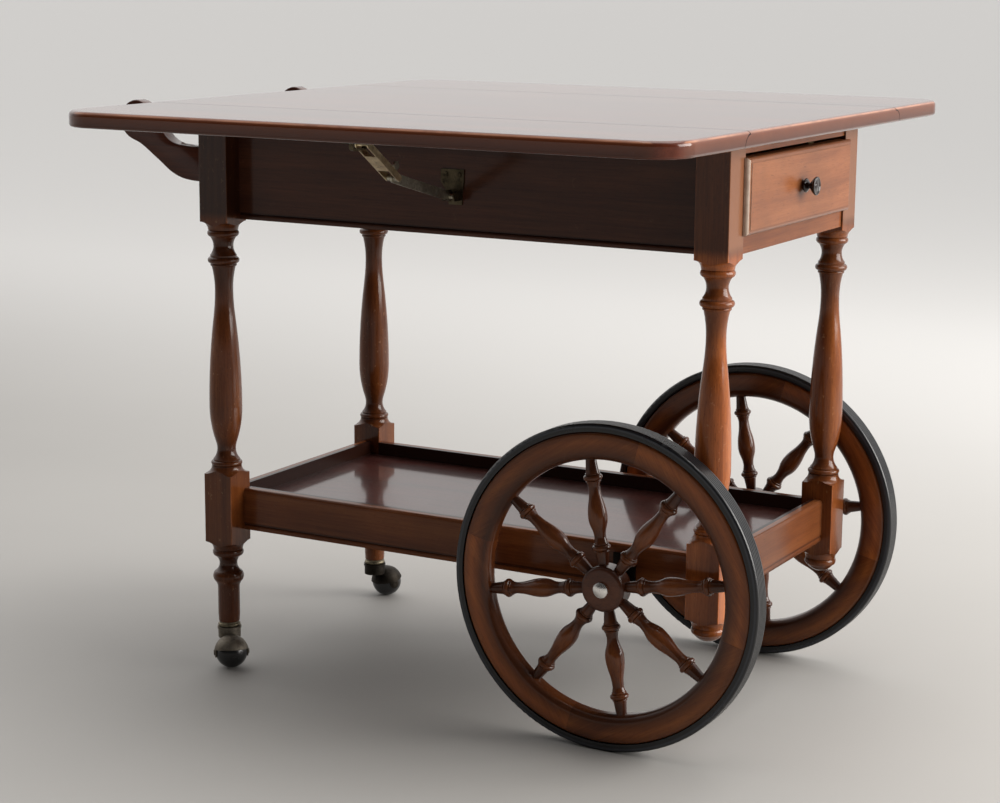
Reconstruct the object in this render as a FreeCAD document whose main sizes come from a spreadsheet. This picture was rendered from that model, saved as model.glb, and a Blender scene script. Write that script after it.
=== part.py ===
import FreeCAD, Part
import math
import os
from types import SimpleNamespace

import Sketcher

# Drop leaf tea trolley. Millimetres, +Z up, +X towards the drawer and the big wheels, -Y the near side.
# The origin lies on the floor under the centre of the four legs.

sizes = {
    # Top: a centre board between two leaves that hang on rule joints.
    "top_height": 762.0,
    "top_thickness": 20.0,
    "top_overhang": 38.6,
    "top_handle_overhang": 44.0,
    "hinge_spread": 484.0,
    "hinge_drop": 18.5,
    "joint_radius": 14.5,
    "joint_gap": 0.8,
    "joint_ease": 0.6,
    "leaf_reach": 199.5,
    "leaf_corner": 48.0,
    "edge_round_upper": 6.0,
    "edge_round_lower": 4.0,
    # Legs: square blocks where the rails meet them, turned between and below.
    "frame_length": 752.8,
    "frame_width": 414.2,
    "leg_width": 43.8,
    "leg_edge_round": 1.2,
    "apron_block_height": 136.0,
    "tray_block_bottom": 172.6,
    "tray_block_height": 93.7,
    "caster_leg_bottom": 59.5,
    "wheel_leg_bottom": 143.0,
    # Turned members, from the apron block down.
    "pommel_radius": 20.0,
    "bead_radius": 21.0,
    "bead_edge": 17.6,
    "top_bead_height": 9.3,
    "cove_height": 24.4,
    "cove_waist": 13.2,
    "fillet_height": 2.4,
    "second_bead_height": 8.6,
    "ring_radius": 17.5,
    "ring_edge": 16.6,
    "ring_height": 3.6,
    "neck_flare": 15.9,
    "neck_flare_height": 31.0,
    "neck_waist": 12.1,
    "belly_radius": 22.0,
    "belly_rise": 91.7,
    "neck_share": 0.22,
    "ankle_share": 0.15,
    "ankle_waist": 12.5,
    "ankle_rise": 33.7,
    "ankle_flare": 18.0,
    "ankle_flare_height": 14.0,
    "base_bead_height": 7.0,
    # Turned members below the tray block.
    "foot_bead_drop": 10.4,
    "foot_bead_height": 10.4,
    "foot_cove_waist": 12.0,
    "foot_cove_height": 21.6,
    "foot_knop_edge": 18.2,
    "foot_knop_radius": 20.9,
    "foot_knop_height": 14.0,
    "foot_flare_height": 9.0,
    "foot_shank_radius": 14.8,
    "foot_shank_height": 37.0,
    "foot_end_radius": 14.3,
    "foot_end_round": 1.6,
    # Aprons and drawer rails.
    "apron_inset": 29.6,
    "apron_thickness": 16.0,
    "apron_depth": 133.0,
    "apron_bead": 7.4,
    "quirk": 1.2,
    "handle_apron_inset": 14.0,
    "drawer_rail_inset": 2.5,
    "drawer_rail_width": 40.0,
    "upper_rail_height": 13.5,
    "lower_rail_height": 21.0,
    "lower_rail_rise": 2.0,
    # Tray shelf.
    "tray_rail_bottom": 188.5,
    "tray_rail_top": 245.0,
    "tray_end_inset": 13.5,
    "tray_rail_round": 4.5,
    "tray_board_top": 227.0,
    "tray_board_thickness": 8.0,
    "tray_tongue": 5.0,
    "tray_tongue_thickness": 4.0,
    # Drawer.
    "drawer_stand": 7.6,
    "drawer_lip_overlap": 4.1,
    "drawer_lip_gap": 0.4,
    "drawer_front_thickness": 18.0,
    "drawer_bottom_gap": 1.0,
    "drawer_top_gap": 4.5,
    "drawer_field_step": 0.8,
    "drawer_mould_radius": 4.4,
    "drawer_field_inset": 6.5,
    "drawer_front_gap": 0.4,
    "drawer_side_gap": 0.8,
    "drawer_runner_gap": 0.4,
    "drawer_kicker_gap": 0.6,
    "drawer_box_length": 326.0,
    "drawer_side_thickness": 10.0,
    "drawer_side_height": 84.0,
    "drawer_panel_thickness": 5.0,
    "drawer_panel_rise": 8.0,
    "drawer_groove": 4.0,
    "runner_width": 20.0,
    "runner_height": 18.0,
    # Knob.
    "knob_drop": 64.0,
    "knob_base_radius": 8.0,
    "knob_base_depth": 3.0,
    "knob_base_bulge": 1.0,
    "knob_neck_radius": 5.6,
    "knob_neck_reach": 7.0,
    "knob_head_radius": 11.2,
    "knob_head_reach": 10.0,
    "knob_reach": 23.0,
    "knob_crown": 4.0,
    "knob_edge_bulge": 2.0,
    "knob_dowel_radius": 4.0,
    "knob_dowel_length": 12.0,
    # Push handle.
    "handle_thickness": 20.0,
    "handle_root_drop": 36.5,
    "handle_root_depth": 48.0,
    "handle_lower_straight": 23.6,
    "handle_upper_straight": 18.6,
    "handle_head_reach": 110.6,
    "handle_head_drop": 9.0,
    "handle_round": 2.0,
    "handle_notch_round": 5.0,
    "handle_head_radius": 27.0,
    "handle_head_angle": 15.0,
    "handle_curve_share": 0.75,
    "handle_bar_radius": 12.5,
    "handle_bar_end_radius": 9.5,
    "handle_dowel_radius": 7.0,
    "handle_dowel_length": 12.0,
    # Big wheels and their axle.
    "axle_setback": 138.4,
    "axle_radius": 6.0,
    "axle_fit": 0.06,
    "wheel_leg_gap": 6.9,
    "wheel_radius": 203.5,
    "wheel_phase": 8.65,
    "tyre_depth": 10.0,
    "tyre_width": 27.0,
    "tyre_round": 3.5,
    "tyre_bevel": 2.0,
    "tread_pitch": 3.8,
    "tread_groove_width": 1.4,
    "tread_groove_depth": 0.8,
    "rim_inner_radius": 158.0,
    "rim_width": 26.5,
    "rim_round": 4.5,
    "rim_inner_round": 10.5,
    "felloe_gap": 0.15,
    "hub_radius": 28.5,
    "hub_width": 28.0,
    "hub_round": 5.0,
    "spoke_tenon_depth": 6.5,
    "spoke_end": 6.4,
    "spoke_shoulder": 8.2,
    "spoke_bead": 11.6,
    "spoke_bead_width": 7.0,
    "spoke_ring": 9.5,
    "spoke_ring_width": 2.3,
    "spoke_bead_place": 49.4,
    "spoke_outer_bead_place": 135.7,
    "spoke_neck": 7.0,
    "spoke_inner_neck_place": 62.0,
    "spoke_outer_neck_place": 124.4,
    "spoke_vase": 11.8,
    "spoke_vase_place": 86.8,
    "cap_radius": 9.65,
    "cap_height": 3.0,
    "cap_dome": 2.2,
    "cap_clearance": 0.5,
    "axle_end_gap": 1.0,
    # Axle brackets.
    "bracket_plate_width": 30.0,
    "bracket_plate_height": 44.0,
    "bracket_plate_share": 0.3,
    "bracket_plate_thickness": 2.5,
    "bracket_sleeve_radius": 9.0,
    "bracket_wheel_gap": 0.3,
    "bracket_tab_width": 12.0,
    "bracket_tab_rise": 24.0,
    "bracket_tab_drop": 11.0,
    "bracket_tab_thickness": 2.5,
    "bracket_tab_setback": 9.0,
    # Casters.
    "ball_radius": 21.5,
    "caster_trail": 21.5,
    "hood_gap": 0.5,
    "hood_wall": 1.3,
    "hood_slope": 10.0,
    "hood_lip": 4.0,
    "hood_ear_half": 7.0,
    "caster_pin_radius": 2.5,
    "caster_pin_fit": 0.06,
    "caster_pin_head": 3.6,
    "caster_pin_head_depth": 0.6,
    "collar_radius": 16.2,
    "collar_top": 52.5,
    "collar_bottom": 49.3,
    "neck_radius": 15.2,
    "neck_bottom": 37.0,
    "stem_radius": 5.0,
    "stem_fit": 0.06,
    "stem_length": 27.0,
    "stem_end_gap": 0.5,
    "ferrule_bottom": 52.8,
    "ferrule_ring": 5.0,
    "ferrule_radius": 15.1,
    "ferrule_waist": 13.7,
    "caster_angle_near": -48.0,
    "caster_angle_far": 65.0,
    # Table hinges.
    "hinge_inset": 125.0,
    "hinge_width": 33.0,
    "hinge_flap_length": 38.0,
    "hinge_flap_thickness": 2.0,
    "hinge_barrel_radius": 2.6,
    "hinge_pin_radius": 1.2,
    "hinge_pin_fit": 0.06,
    "hinge_gap": 0.4,
    # Leaf stays.
    "stay_place": -4.0,
    "stay_pivot_out": 16.2,
    "stay_pivot_drop": 82.1,
    "stay_knuckle_out": 131.1,
    "stay_knuckle_up": 33.2,
    "stay_pin_reach": 148.4,
    "stay_pin_drop": 5.5,
    "stay_lower_width": 12.0,
    "stay_lower_thickness": 3.0,
    "stay_upper_width": 8.4,
    "stay_upper_spread": 18.0,
    "stay_cheek": 1.5,
    "stay_web_start": 24.0,
    "stay_web_end": 58.0,
    "stay_side_gap": 0.3,
    "stay_pin_radius": 2.0,
    "stay_pin_fit": 0.06,
    "stay_boss_radius": 4.0,
    "finger_disc_radius": 5.0,
    "finger_disc_rise": 15.0,
    "finger_tab_width": 5.0,
    "finger_tab_setback": 2.0,
    "slot_travel": 21.5,
    "slot_slack": 1.15,
    "slot_end_gap": 0.5,
    "slot_wall": 2.6,
    "slot_lug_thickness": 5.0,
    "leaf_plate_width": 12.0,
    "leaf_plate_thickness": 2.0,
    "leaf_plate_overhang": 11.0,
    "stay_plate_thickness": 2.0,
    "stay_plate_width": 33.0,
    "stay_plate_shift": -4.5,
    "stay_plate_top_drop": 50.0,
    "stay_plate_shoulder_drop": 66.0,
    "stay_plate_bottom_drop": 94.0,
    "stay_plate_foot": 19.0,
    "stay_lug_thickness": 2.0,
    "stay_lug_radius": 6.0,
    "screw_head_radius": 3.6,
    "screw_head_height": 1.4,
    "screw_slot_width": 1.0,
    "screw_slot_depth": 0.8,
    "screw_shank_radius": 1.8,
    "screw_length": 12.0,
    "screw_spacing": 19.0,
    "screw_drop": 57.0,
}

doc = FreeCAD.newDocument("tea_trolley")
sheet = doc.addObject("Spreadsheet::Sheet", "Sizes")
for row, (alias, number) in enumerate(sizes.items(), start=1):
    sheet.set(f"A{row}", alias)
    sheet.set(f"B{row}", str(number))
    sheet.setAlias(f"B{row}", alias)
doc.recompute()


class Size:
    """A number that carries the sheet expression it comes from."""

    def __init__(self, text, value):
        self.text = text
        self.value = value

    def __add__(self, other):
        other = as_size(other)
        return Size(f"({self.text} + {other.text})", self.value + other.value)

    def __sub__(self, other):
        other = as_size(other)
        return Size(f"({self.text} - {other.text})", self.value - other.value)

    def __mul__(self, other):
        other = as_size(other)
        return Size(f"({self.text} * {other.text})", self.value * other.value)

    def __truediv__(self, other):
        other = as_size(other)
        return Size(f"({self.text} / {other.text})", self.value / other.value)

    def __radd__(self, other):
        return as_size(other) + self

    def __rsub__(self, other):
        return as_size(other) - self

    def __rmul__(self, other):
        return as_size(other) * self

    def __neg__(self):
        return Size(f"(-1 * {self.text})", -self.value)


def as_size(number):
    return number if isinstance(number, Size) else Size(repr(float(number)), float(number))


def root(size):
    return Size(f"sqrt({size.text})", math.sqrt(size.value))


def cosine(degrees):
    return Size(f"cos({degrees.text})", math.cos(math.radians(degrees.value)))


def sine(degrees):
    return Size(f"sin({degrees.text})", math.sin(math.radians(degrees.value)))


def bearing(across, up):
    """Direction in degrees of the line that runs so far across and so far up."""
    across, up = as_size(across), as_size(up)
    angle = math.degrees(math.atan2(up.value, across.value))
    return Size(f"(atan2({up.text}; {across.text}) / 1 deg)", angle)


S = SimpleNamespace(**{alias: Size("Sizes." + alias, number) for alias, number in sizes.items()})
ZERO = as_size(0)
NEAR, FAR = -1, 1

# Building helpers.

parts = []


def place(target, x=0, y=0, z=0, axis=(0, 0, 1), angle=0):
    """Put an object at expressions for its place and its turn."""
    x, y, z, angle = as_size(x), as_size(y), as_size(z), as_size(angle)
    turn = FreeCAD.Rotation(FreeCAD.Vector(*axis), angle.value)
    target.Placement = FreeCAD.Placement(FreeCAD.Vector(x.value, y.value, z.value), turn)
    for letter, size in (("x", x), ("y", y), ("z", z)):
        if "Sizes." in size.text:
            target.setExpression(f"Placement.Base.{letter}", size.text)
    if "Sizes." in angle.text:
        target.setExpression("Placement.Rotation.Angle", angle.text)
    return target


def part(label, **where):
    """Start a sub-part: a body with its own label and placement."""
    body = doc.addObject("PartDesign::Body", label)
    body.Label = label
    parts.append(body)
    return place(body, **where)


def origin_feature(body, role):
    return next(feature for feature in body.Origin.OriginFeatures if feature.Role == role)


def new_sketch(body, plane, offset=0):
    sketch = body.newObject("Sketcher::SketchObject", body.Label + "_sketch")
    sketch.AttachmentSupport = [(origin_feature(body, plane + "_Plane"), "")]
    sketch.MapMode = "FlatFace"
    offset = as_size(offset)
    sketch.AttachmentOffset = FreeCAD.Placement(FreeCAD.Vector(0, 0, offset.value), FreeCAD.Rotation())
    if "Sizes." in offset.text:
        sketch.setExpression("AttachmentOffset.Base.z", offset.text)
    return sketch


def pin(rules, kind, geometry, point, size):
    """Note a distance from the sketch origin to a point, with its expression."""
    constraint = Sketcher.Constraint(kind, -1, 1, geometry, point, size.value)
    rules.append((constraint, size))


def bind(sketch, rules):
    first = sketch.ConstraintCount
    sketch.addConstraint([constraint for constraint, size in rules])
    for index, (constraint, size) in enumerate(rules):
        if size is not None and "Sizes." in size.text:
            sketch.setExpression(f"Constraints[{first + index}]", size.text)


def bow_radius(start, end, bow):
    """Radius of the arc that stands out by bow from the chord between two corners."""
    across, up = end[0] - start[0], end[1] - start[1]
    return (across * across + up * up) / (8 * bow) + bow / 2


def dome_radius(radius, height):
    """Radius of a dome of this height over a round edge of this radius."""
    return (radius * radius + height * height) / (2 * height)


def draw(body, plane, corners, offset=0):
    """Sketch a closed outline. A corner is (x, y), or (x, y, radius) where an arc leads on to the next
    corner: a positive radius turns left, a negative one turns right."""
    sketch = new_sketch(body, plane, offset)
    corners = [tuple(as_size(number) for number in corner) for corner in corners]
    geometry = []
    rules = []
    starts = []
    ends = []
    for index, corner in enumerate(corners):
        following = corners[(index + 1) % len(corners)]
        start = FreeCAD.Vector(corner[0].value, corner[1].value, 0)
        end = FreeCAD.Vector(following[0].value, following[1].value, 0)
        if len(corner) == 2:
            geometry.append(Part.LineSegment(start, end))
            starts.append((index, 1))
            ends.append((index, 2))
            continue
        radius = corner[2]
        chord = end - start
        left = FreeCAD.Vector(-chord.y, chord.x, 0).normalize()
        rise = math.sqrt(max(radius.value ** 2 - chord.Length ** 2 / 4, 0))
        side = 1 if radius.value > 0 else -1
        centre = (start + end) * 0.5 + left * (rise * side)
        first, last = (start, end) if side > 0 else (end, start)
        angles = [math.atan2(point.y - centre.y, point.x - centre.x) for point in (first, last)]
        if angles[1] < angles[0]:
            angles[1] += 2 * math.pi
        circle = Part.Circle(centre, FreeCAD.Vector(0, 0, 1), abs(radius.value))
        geometry.append(Part.ArcOfCircle(circle, *angles))
        starts.append((index, 1 if side > 0 else 2))
        ends.append((index, 2 if side > 0 else 1))
        size = radius if side > 0 else -radius
        rules.append((Sketcher.Constraint("Radius", index, size.value), size))
    for index, corner in enumerate(corners):
        pin(rules, "DistanceX", *starts[index], corner[0])
        pin(rules, "DistanceY", *starts[index], corner[1])
        joint = Sketcher.Constraint("Coincident", *ends[index], *starts[(index + 1) % len(corners)])
        rules.append((joint, None))
    sketch.addGeometry(geometry)
    bind(sketch, rules)
    return sketch


def circles(body, plane, centres, radius, offset=0):
    sketch = new_sketch(body, plane, offset)
    radius = as_size(radius)
    rules = []
    for index, centre in enumerate(centres):
        x, y = (as_size(number) for number in centre)
        middle = FreeCAD.Vector(x.value, y.value, 0)
        sketch.addGeometry(Part.Circle(middle, FreeCAD.Vector(0, 0, 1), radius.value))
        pin(rules, "DistanceX", index, 3, x)
        pin(rules, "DistanceY", index, 3, y)
        rules.append((Sketcher.Constraint("Radius", index, radius.value), radius))
    bind(sketch, rules)
    return sketch


def box_corners(x, y, width, height):
    """Corners of a rectangle from its lower left corner."""
    return [(x, y), (x + width, y), (x + width, y + height), (x, y + height)]


def sized_feature(body, kind, sketch, prop, size):
    feature = body.newObject("PartDesign::" + kind, body.Label + "_" + kind.lower())
    feature.Profile = sketch
    size = as_size(size)
    setattr(feature, prop, size.value)
    if "Sizes." in size.text:
        feature.setExpression(prop, size.text)
    return feature


def pad(body, sketch, length, both=False, back=False):
    feature = sized_feature(body, "Pad", sketch, "Length", length)
    feature.Reversed = back
    if both:
        feature.SideType = "Symmetric"
    return feature


def pocket(body, sketch, length, both=False, back=False):
    feature = sized_feature(body, "Pocket", sketch, "Length", length)
    feature.Reversed = back
    if both:
        feature.SideType = "Symmetric"
    return feature


def spin(body, sketch, axis="V_Axis", kind="Revolution", angle=360):
    feature = sized_feature(body, kind, sketch, "Angle", angle)
    feature.ReferenceAxis = (sketch, [axis])
    return feature


def repeat_round(body, features, axis, count):
    """Repeat features round one of the body's axes."""
    pattern = body.newObject("PartDesign::PolarPattern", body.Label + "_pattern")
    pattern.Originals = features
    pattern.Axis = (origin_feature(body, axis + "_Axis"), [""])
    pattern.Angle = 360
    pattern.Occurrences = count
    body.Tip = pattern
    return pattern


def round_edges(body, radius, chosen):
    """Fillet the edges of the body so far whose middle point passes the test."""
    doc.recompute()
    tip = body.Tip
    names = []
    for index, edge in enumerate(tip.Shape.Edges, start=1):
        middle = edge.valueAt((edge.FirstParameter + edge.LastParameter) / 2)
        if chosen(edge, middle):
            names.append(f"Edge{index}")
    fillet = body.newObject("PartDesign::Fillet", body.Label + "_fillet")
    fillet.Base = (tip, names)
    fillet.Radius = radius.value
    fillet.setExpression("Radius", radius.text)
    return fillet


def close_to(number, size):
    return abs(number - as_size(size).value) < 0.01


# Shared places.

top_bottom = S.top_height - S.top_thickness
top_length = S.frame_length + S.top_overhang + S.top_handle_overhang
top_x = (S.top_overhang - S.top_handle_overhang) / 2
hinge_x = top_length / 2 - S.hinge_inset
hinge_y = S.hinge_spread / 2
hinge_z = S.top_height - S.hinge_drop
underside = S.hinge_drop - S.top_thickness
leg_x = S.frame_length / 2 - S.leg_width / 2
leg_y = S.frame_width / 2 - S.leg_width / 2
inner_x = S.frame_length / 2 - S.leg_width
inner_y = S.frame_width / 2 - S.leg_width
apron_face = S.frame_width / 2 - S.apron_inset
apron_back = apron_face - S.apron_thickness
apron_bottom = top_bottom - S.apron_depth
sides = (("near", NEAR), ("far", FAR))

# Top and leaves.


def hinge_gains(body, start, end, level, depth):
    """Housings for two hinges in an underside, from start to end across the joint."""
    wide = S.hinge_width + S.hinge_gap * 2
    for side in (-1, 1):
        x = hinge_x * side - wide / 2
        gain = draw(body, "XY", box_corners(x, start, wide, end - start), offset=level)
        pocket(body, gain, depth, back=True)


def centre_top():
    body = part("top_centre", x=top_x)
    edge = hinge_y + S.joint_radius
    shoulder = hinge_z + S.joint_radius
    outline = draw(body, "YZ", [
        (-edge, top_bottom),
        (edge, top_bottom),
        (edge, hinge_z, S.joint_radius),
        (hinge_y, shoulder),
        (hinge_y, S.top_height),
        (-hinge_y, S.top_height),
        (-hinge_y, shoulder, S.joint_radius),
        (-edge, hinge_z),
    ])
    pad(body, outline, top_length, both=True)
    end = top_length / 2
    round_edges(body, S.edge_round_upper, lambda edge, middle: close_to(abs(middle.x), end)
                and close_to(middle.z, S.top_height))
    round_edges(body, S.edge_round_lower, lambda edge, middle: close_to(abs(middle.x), end)
                and close_to(middle.z, top_bottom))
    round_edges(body, S.joint_ease, lambda edge, middle: close_to(abs(middle.y), hinge_y)
                and close_to(middle.z, S.top_height))
    reach = S.joint_radius + S.joint_gap
    barrel = S.hinge_barrel_radius + S.hinge_gap
    flap = S.hinge_flap_thickness
    hinge_gains(body, -hinge_y, S.hinge_flap_length - hinge_y, top_bottom, flap)
    hinge_gains(body, hinge_y - S.hinge_flap_length, hinge_y, top_bottom, flap)
    hinge_gains(body, -hinge_y - reach, -hinge_y, top_bottom, flap + S.hinge_gap)
    hinge_gains(body, hinge_y, hinge_y + reach, top_bottom, flap + S.hinge_gap)
    hinge_gains(body, -hinge_y - barrel, barrel - hinge_y, top_bottom, barrel - underside)
    hinge_gains(body, hinge_y - barrel, hinge_y + barrel, top_bottom, barrel - underside)


def leaf(name, hand):
    turn = 0 if hand == NEAR else 180
    body = part("leaf_" + name, x=top_x, y=hinge_y * hand, z=hinge_z, angle=turn)
    cove = S.joint_radius + S.joint_gap
    nose = root(cove * cove - S.joint_gap * S.joint_gap)
    outline = draw(body, "YZ", [
        (-S.leaf_reach, underside),
        (-cove, underside),
        (-cove, ZERO, -cove),
        (-S.joint_gap, nose),
        (-S.joint_gap, S.hinge_drop),
        (-S.leaf_reach, S.hinge_drop),
    ])
    pad(body, outline, top_length, both=True)
    end = top_length / 2
    round_edges(body, S.leaf_corner, lambda edge, middle: close_to(abs(middle.x), end)
                and close_to(middle.y, -S.leaf_reach))
    for radius, level in ((S.edge_round_upper, S.hinge_drop), (S.edge_round_lower, underside)):
        round_edges(body, radius, lambda edge, middle: close_to(middle.z, level)
                    and (close_to(abs(middle.x), end) or close_to(middle.y, -S.leaf_reach)
                         or edge.Curve.TypeId == "Part::GeomCircle"))
    round_edges(body, S.joint_ease, lambda edge, middle: close_to(middle.y, -S.joint_gap)
                and close_to(middle.z, S.hinge_drop))
    hinge_gains(body, -S.hinge_flap_length, -cove, underside, S.hinge_flap_thickness)


# Legs.


def ogee(low, high, share):
    """Two arcs between two upright tangents, meeting at a share of the way up from the low point."""
    across, up = high[0] - low[0], high[1] - low[1]
    whole = (across * across + up * up) / (2 * across)
    meeting = (low[0] + across * share, low[1] + up * share)
    return whole, meeting


def waist_radius(waist, other):
    """Radius of the arc that stands upright at the waist and ends at the other corner."""
    across, up = other[0] - waist[0], other[1] - waist[1]
    return (across * across + up * up) / (2 * across)


def cove(bottom, waist, top):
    return [(*bottom, -waist_radius(waist, bottom)), (*waist, -waist_radius(waist, top))]


def bead(bottom, top, bulge):
    return [(*bottom, bow_radius(bottom, top, bulge))]


def shank():
    """Turned outline between the two blocks, from the tray block up."""
    block = S.tray_block_bottom + S.tray_block_height
    start = block + S.pommel_rise
    base = (S.bead_edge, start)
    base_top = (S.bead_edge, start + S.base_bead_height)
    ankle = (S.ankle_waist, block + S.ankle_rise)
    flare = (S.ankle_flare, ankle[1] - S.ankle_flare_height)
    belly = (S.belly_radius, block + S.belly_rise)
    top = top_bottom - S.apron_block_height - S.pommel_rise
    top_bead = (S.bead_edge, top - S.top_bead_height)
    cove_foot = (S.bead_edge, top_bead[1] - S.cove_height)
    cove_mid = (S.cove_waist, top_bead[1] - S.cove_height / 2)
    second = (S.bead_edge, cove_foot[1] - S.fillet_height)
    second_foot = (S.bead_edge, second[1] - S.second_bead_height)
    ring = (S.ring_edge, second_foot[1])
    ring_foot = (S.ring_edge, ring[1] - S.ring_height)
    neck_top = (S.neck_flare, ring_foot[1])
    neck = (S.neck_waist, neck_top[1] - S.neck_flare_height)
    lower_whole, lower_meet = ogee(ankle, belly, S.ankle_share)
    upper_whole, upper_meet = ogee(neck, belly, S.neck_share)
    bead_bulge = S.bead_radius - S.bead_edge
    outline = [(ZERO, block), (S.pommel_radius, block), (S.pommel_radius, start)]
    outline += bead(base, base_top, bead_bulge)
    outline += [base_top]
    outline += [(*flare, -waist_radius(ankle, flare)), (*ankle, -(lower_whole * S.ankle_share))]
    outline += [(*lower_meet, lower_whole * (1 - S.ankle_share))]
    outline += [(*belly, upper_whole * (1 - S.neck_share)), (*upper_meet, -(upper_whole * S.neck_share))]
    outline += [(*neck, -waist_radius(neck, neck_top)), neck_top]
    outline += bead(ring_foot, ring, S.ring_radius - S.ring_edge)
    outline += [ring]
    outline += bead(second_foot, second, bead_bulge) + [second]
    outline += cove(cove_foot, cove_mid, top_bead)
    outline += bead(top_bead, (S.bead_edge, top), bead_bulge) + [(S.bead_edge, top)]
    outline += [(S.pommel_radius, top), (S.pommel_radius, top_bottom - S.apron_block_height)]
    outline += [(ZERO, top_bottom - S.apron_block_height)]
    return outline


def foot(caster):
    """Turned outline below the tray block, from its lower end up."""
    block = S.tray_block_bottom
    bead_top = (S.bead_edge, block - S.foot_bead_drop)
    bead_foot = (S.bead_edge, bead_top[1] - S.foot_bead_height)
    bulge = S.bead_radius - S.bead_edge
    upper = bead(bead_foot, bead_top, bulge)
    upper += [bead_top, (S.pommel_radius, bead_top[1]), (S.pommel_radius, block), (ZERO, block)]
    if not caster:
        tip = (ZERO, S.wheel_leg_bottom)
        return [(*tip, dome_radius(S.bead_edge, bead_foot[1] - S.wheel_leg_bottom))] + upper
    waist = (S.foot_cove_waist, bead_foot[1] - S.foot_cove_height / 2)
    knop_top = (S.foot_knop_edge, bead_foot[1] - S.foot_cove_height)
    knop_foot = (S.foot_knop_edge, knop_top[1] - S.foot_knop_height)
    shank_top = (S.foot_shank_radius, knop_foot[1] - S.foot_flare_height)
    shank_foot = (S.foot_shank_radius, shank_top[1] - S.foot_shank_height)
    end_round = S.foot_end_round
    tip = (S.foot_end_radius - end_round, S.caster_leg_bottom)
    outline = [(ZERO, S.caster_leg_bottom), (*tip, end_round)]
    outline += [(S.foot_end_radius, S.caster_leg_bottom + end_round), shank_foot]
    outline += [(*shank_top, -waist_radius(shank_top, knop_foot))]
    outline += bead(knop_foot, knop_top, S.foot_knop_radius - S.foot_knop_edge)
    outline += cove(knop_top, waist, bead_foot)
    return outline + upper


corner_radius = S.leg_width * root(as_size(2)) / 2
S.pommel_rise = corner_radius - S.pommel_radius


def eased_square(half, ease):
    """Square about the origin with its corners rounded a little."""
    flat = half - ease
    return [
        (-flat, -half), (flat, -half, ease), (half, -flat), (half, flat, ease),
        (flat, half), (-flat, half, ease), (-half, flat), (-half, -flat, ease),
    ]


def block(body, bottom, top, open_top):
    """Square block with its corners run out into the turning by a hollow at each turned end."""
    low = bottom - S.pommel_rise
    high = top + S.pommel_rise if open_top else top
    half = S.leg_width / 2
    square = draw(body, "XY", eased_square(half, S.leg_edge_round), offset=low)
    pad(body, square, high - low)
    clear = corner_radius + S.pommel_rise
    spin(body, draw(body, "XZ", [
        (S.pommel_radius, low, -S.pommel_rise), (corner_radius, bottom), (clear, bottom),
        (clear, low - S.pommel_rise), (S.pommel_radius, low - S.pommel_rise),
    ]), kind="Groove")
    if open_top:
        spin(body, draw(body, "XZ", [
            (S.pommel_radius, high, S.pommel_rise), (corner_radius, top), (clear, top),
            (clear, high + S.pommel_rise), (S.pommel_radius, high + S.pommel_rise),
        ]), kind="Groove")


def leg(side, end, hand, caster):
    body = part(f"leg_{side}_{end}", x=-leg_x if caster else leg_x, y=leg_y * hand)
    block(body, S.tray_block_bottom, S.tray_block_bottom + S.tray_block_height, True)
    block(body, top_bottom - S.apron_block_height, top_bottom, False)
    spin(body, draw(body, "XZ", shank()))
    spin(body, draw(body, "XZ", foot(caster)))
    if caster:
        bore = circles(body, "XY", [(0, 0)], S.stem_radius + S.stem_fit, offset=S.caster_leg_bottom)
        pocket(body, bore, S.collar_top + S.stem_length + S.stem_end_gap - S.caster_leg_bottom, back=True)


# Frame rails.


def beaded_rail(body, plane, face, back, bottom, top, round_top=None):
    """Section of a rail: face side to the right, a bead and its quirk along the lower edge."""
    bead_top = bottom + S.apron_bead
    corners = [
        (back, bottom),
        (face - S.quirk, bottom, bow_radius((ZERO, ZERO), (ZERO, S.apron_bead), S.quirk)),
        (face - S.quirk, bead_top),
        (face, bead_top + S.quirk / 2),
    ]
    if round_top is None:
        corners += [(face, top)]
    else:
        corners += [(face, top - round_top, round_top), (face - round_top, top)]
    return draw(body, plane, corners + [(back, top)])


def side_rail(label, hand, bottom, top, round_top=None):
    body = part(label, angle=0 if hand == FAR else 180)
    section = beaded_rail(body, "YZ", apron_face, apron_back, bottom, top, round_top)
    pad(body, section, inner_x * 2, both=True)
    return body


def end_rail(label, hand, inset, thickness, bottom, top, round_top=None):
    """Rail across an end of the frame, between the legs."""
    body = part(label, angle=0 if hand > 0 else 180)
    face = S.frame_length / 2 - inset
    section = beaded_rail(body, "XZ", face, face - thickness, bottom, top, round_top)
    pad(body, section, inner_y * 2, both=True)
    return body


def aprons():
    for side, hand in sides:
        body = side_rail("apron_" + side, hand, apron_bottom, top_bottom)
        holes = [(plate_x(-1) * hand, screw_z), (plate_x(1) * hand, screw_z)]
        bores = circles(body, "XZ", holes, S.screw_shank_radius, offset=-apron_face)
        pocket(body, bores, S.screw_length - S.stay_plate_thickness, back=True)
    end_rail("apron_handle_end", -1, S.handle_apron_inset, S.apron_thickness, apron_bottom, top_bottom)


def drawer_rails():
    face = S.frame_length / 2 - S.drawer_rail_inset
    lower = apron_bottom + S.lower_rail_rise
    for label, bottom, height in (
        ("drawer_rail_upper", top_bottom - S.upper_rail_height, S.upper_rail_height),
        ("drawer_rail_lower", lower, S.lower_rail_height),
    ):
        body = part(label)
        corners = box_corners(face - S.drawer_rail_width, bottom, S.drawer_rail_width, height)
        pad(body, draw(body, "XZ", corners), inner_y * 2, both=True)


rail_top = apron_bottom + S.lower_rail_rise + S.lower_rail_height
box_bottom = rail_top + S.drawer_runner_gap
box_top = box_bottom + S.drawer_side_height
run_start = -(S.frame_length / 2 - S.handle_apron_inset - S.apron_thickness)
run_end = S.frame_length / 2 - S.drawer_rail_inset - S.drawer_rail_width


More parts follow.
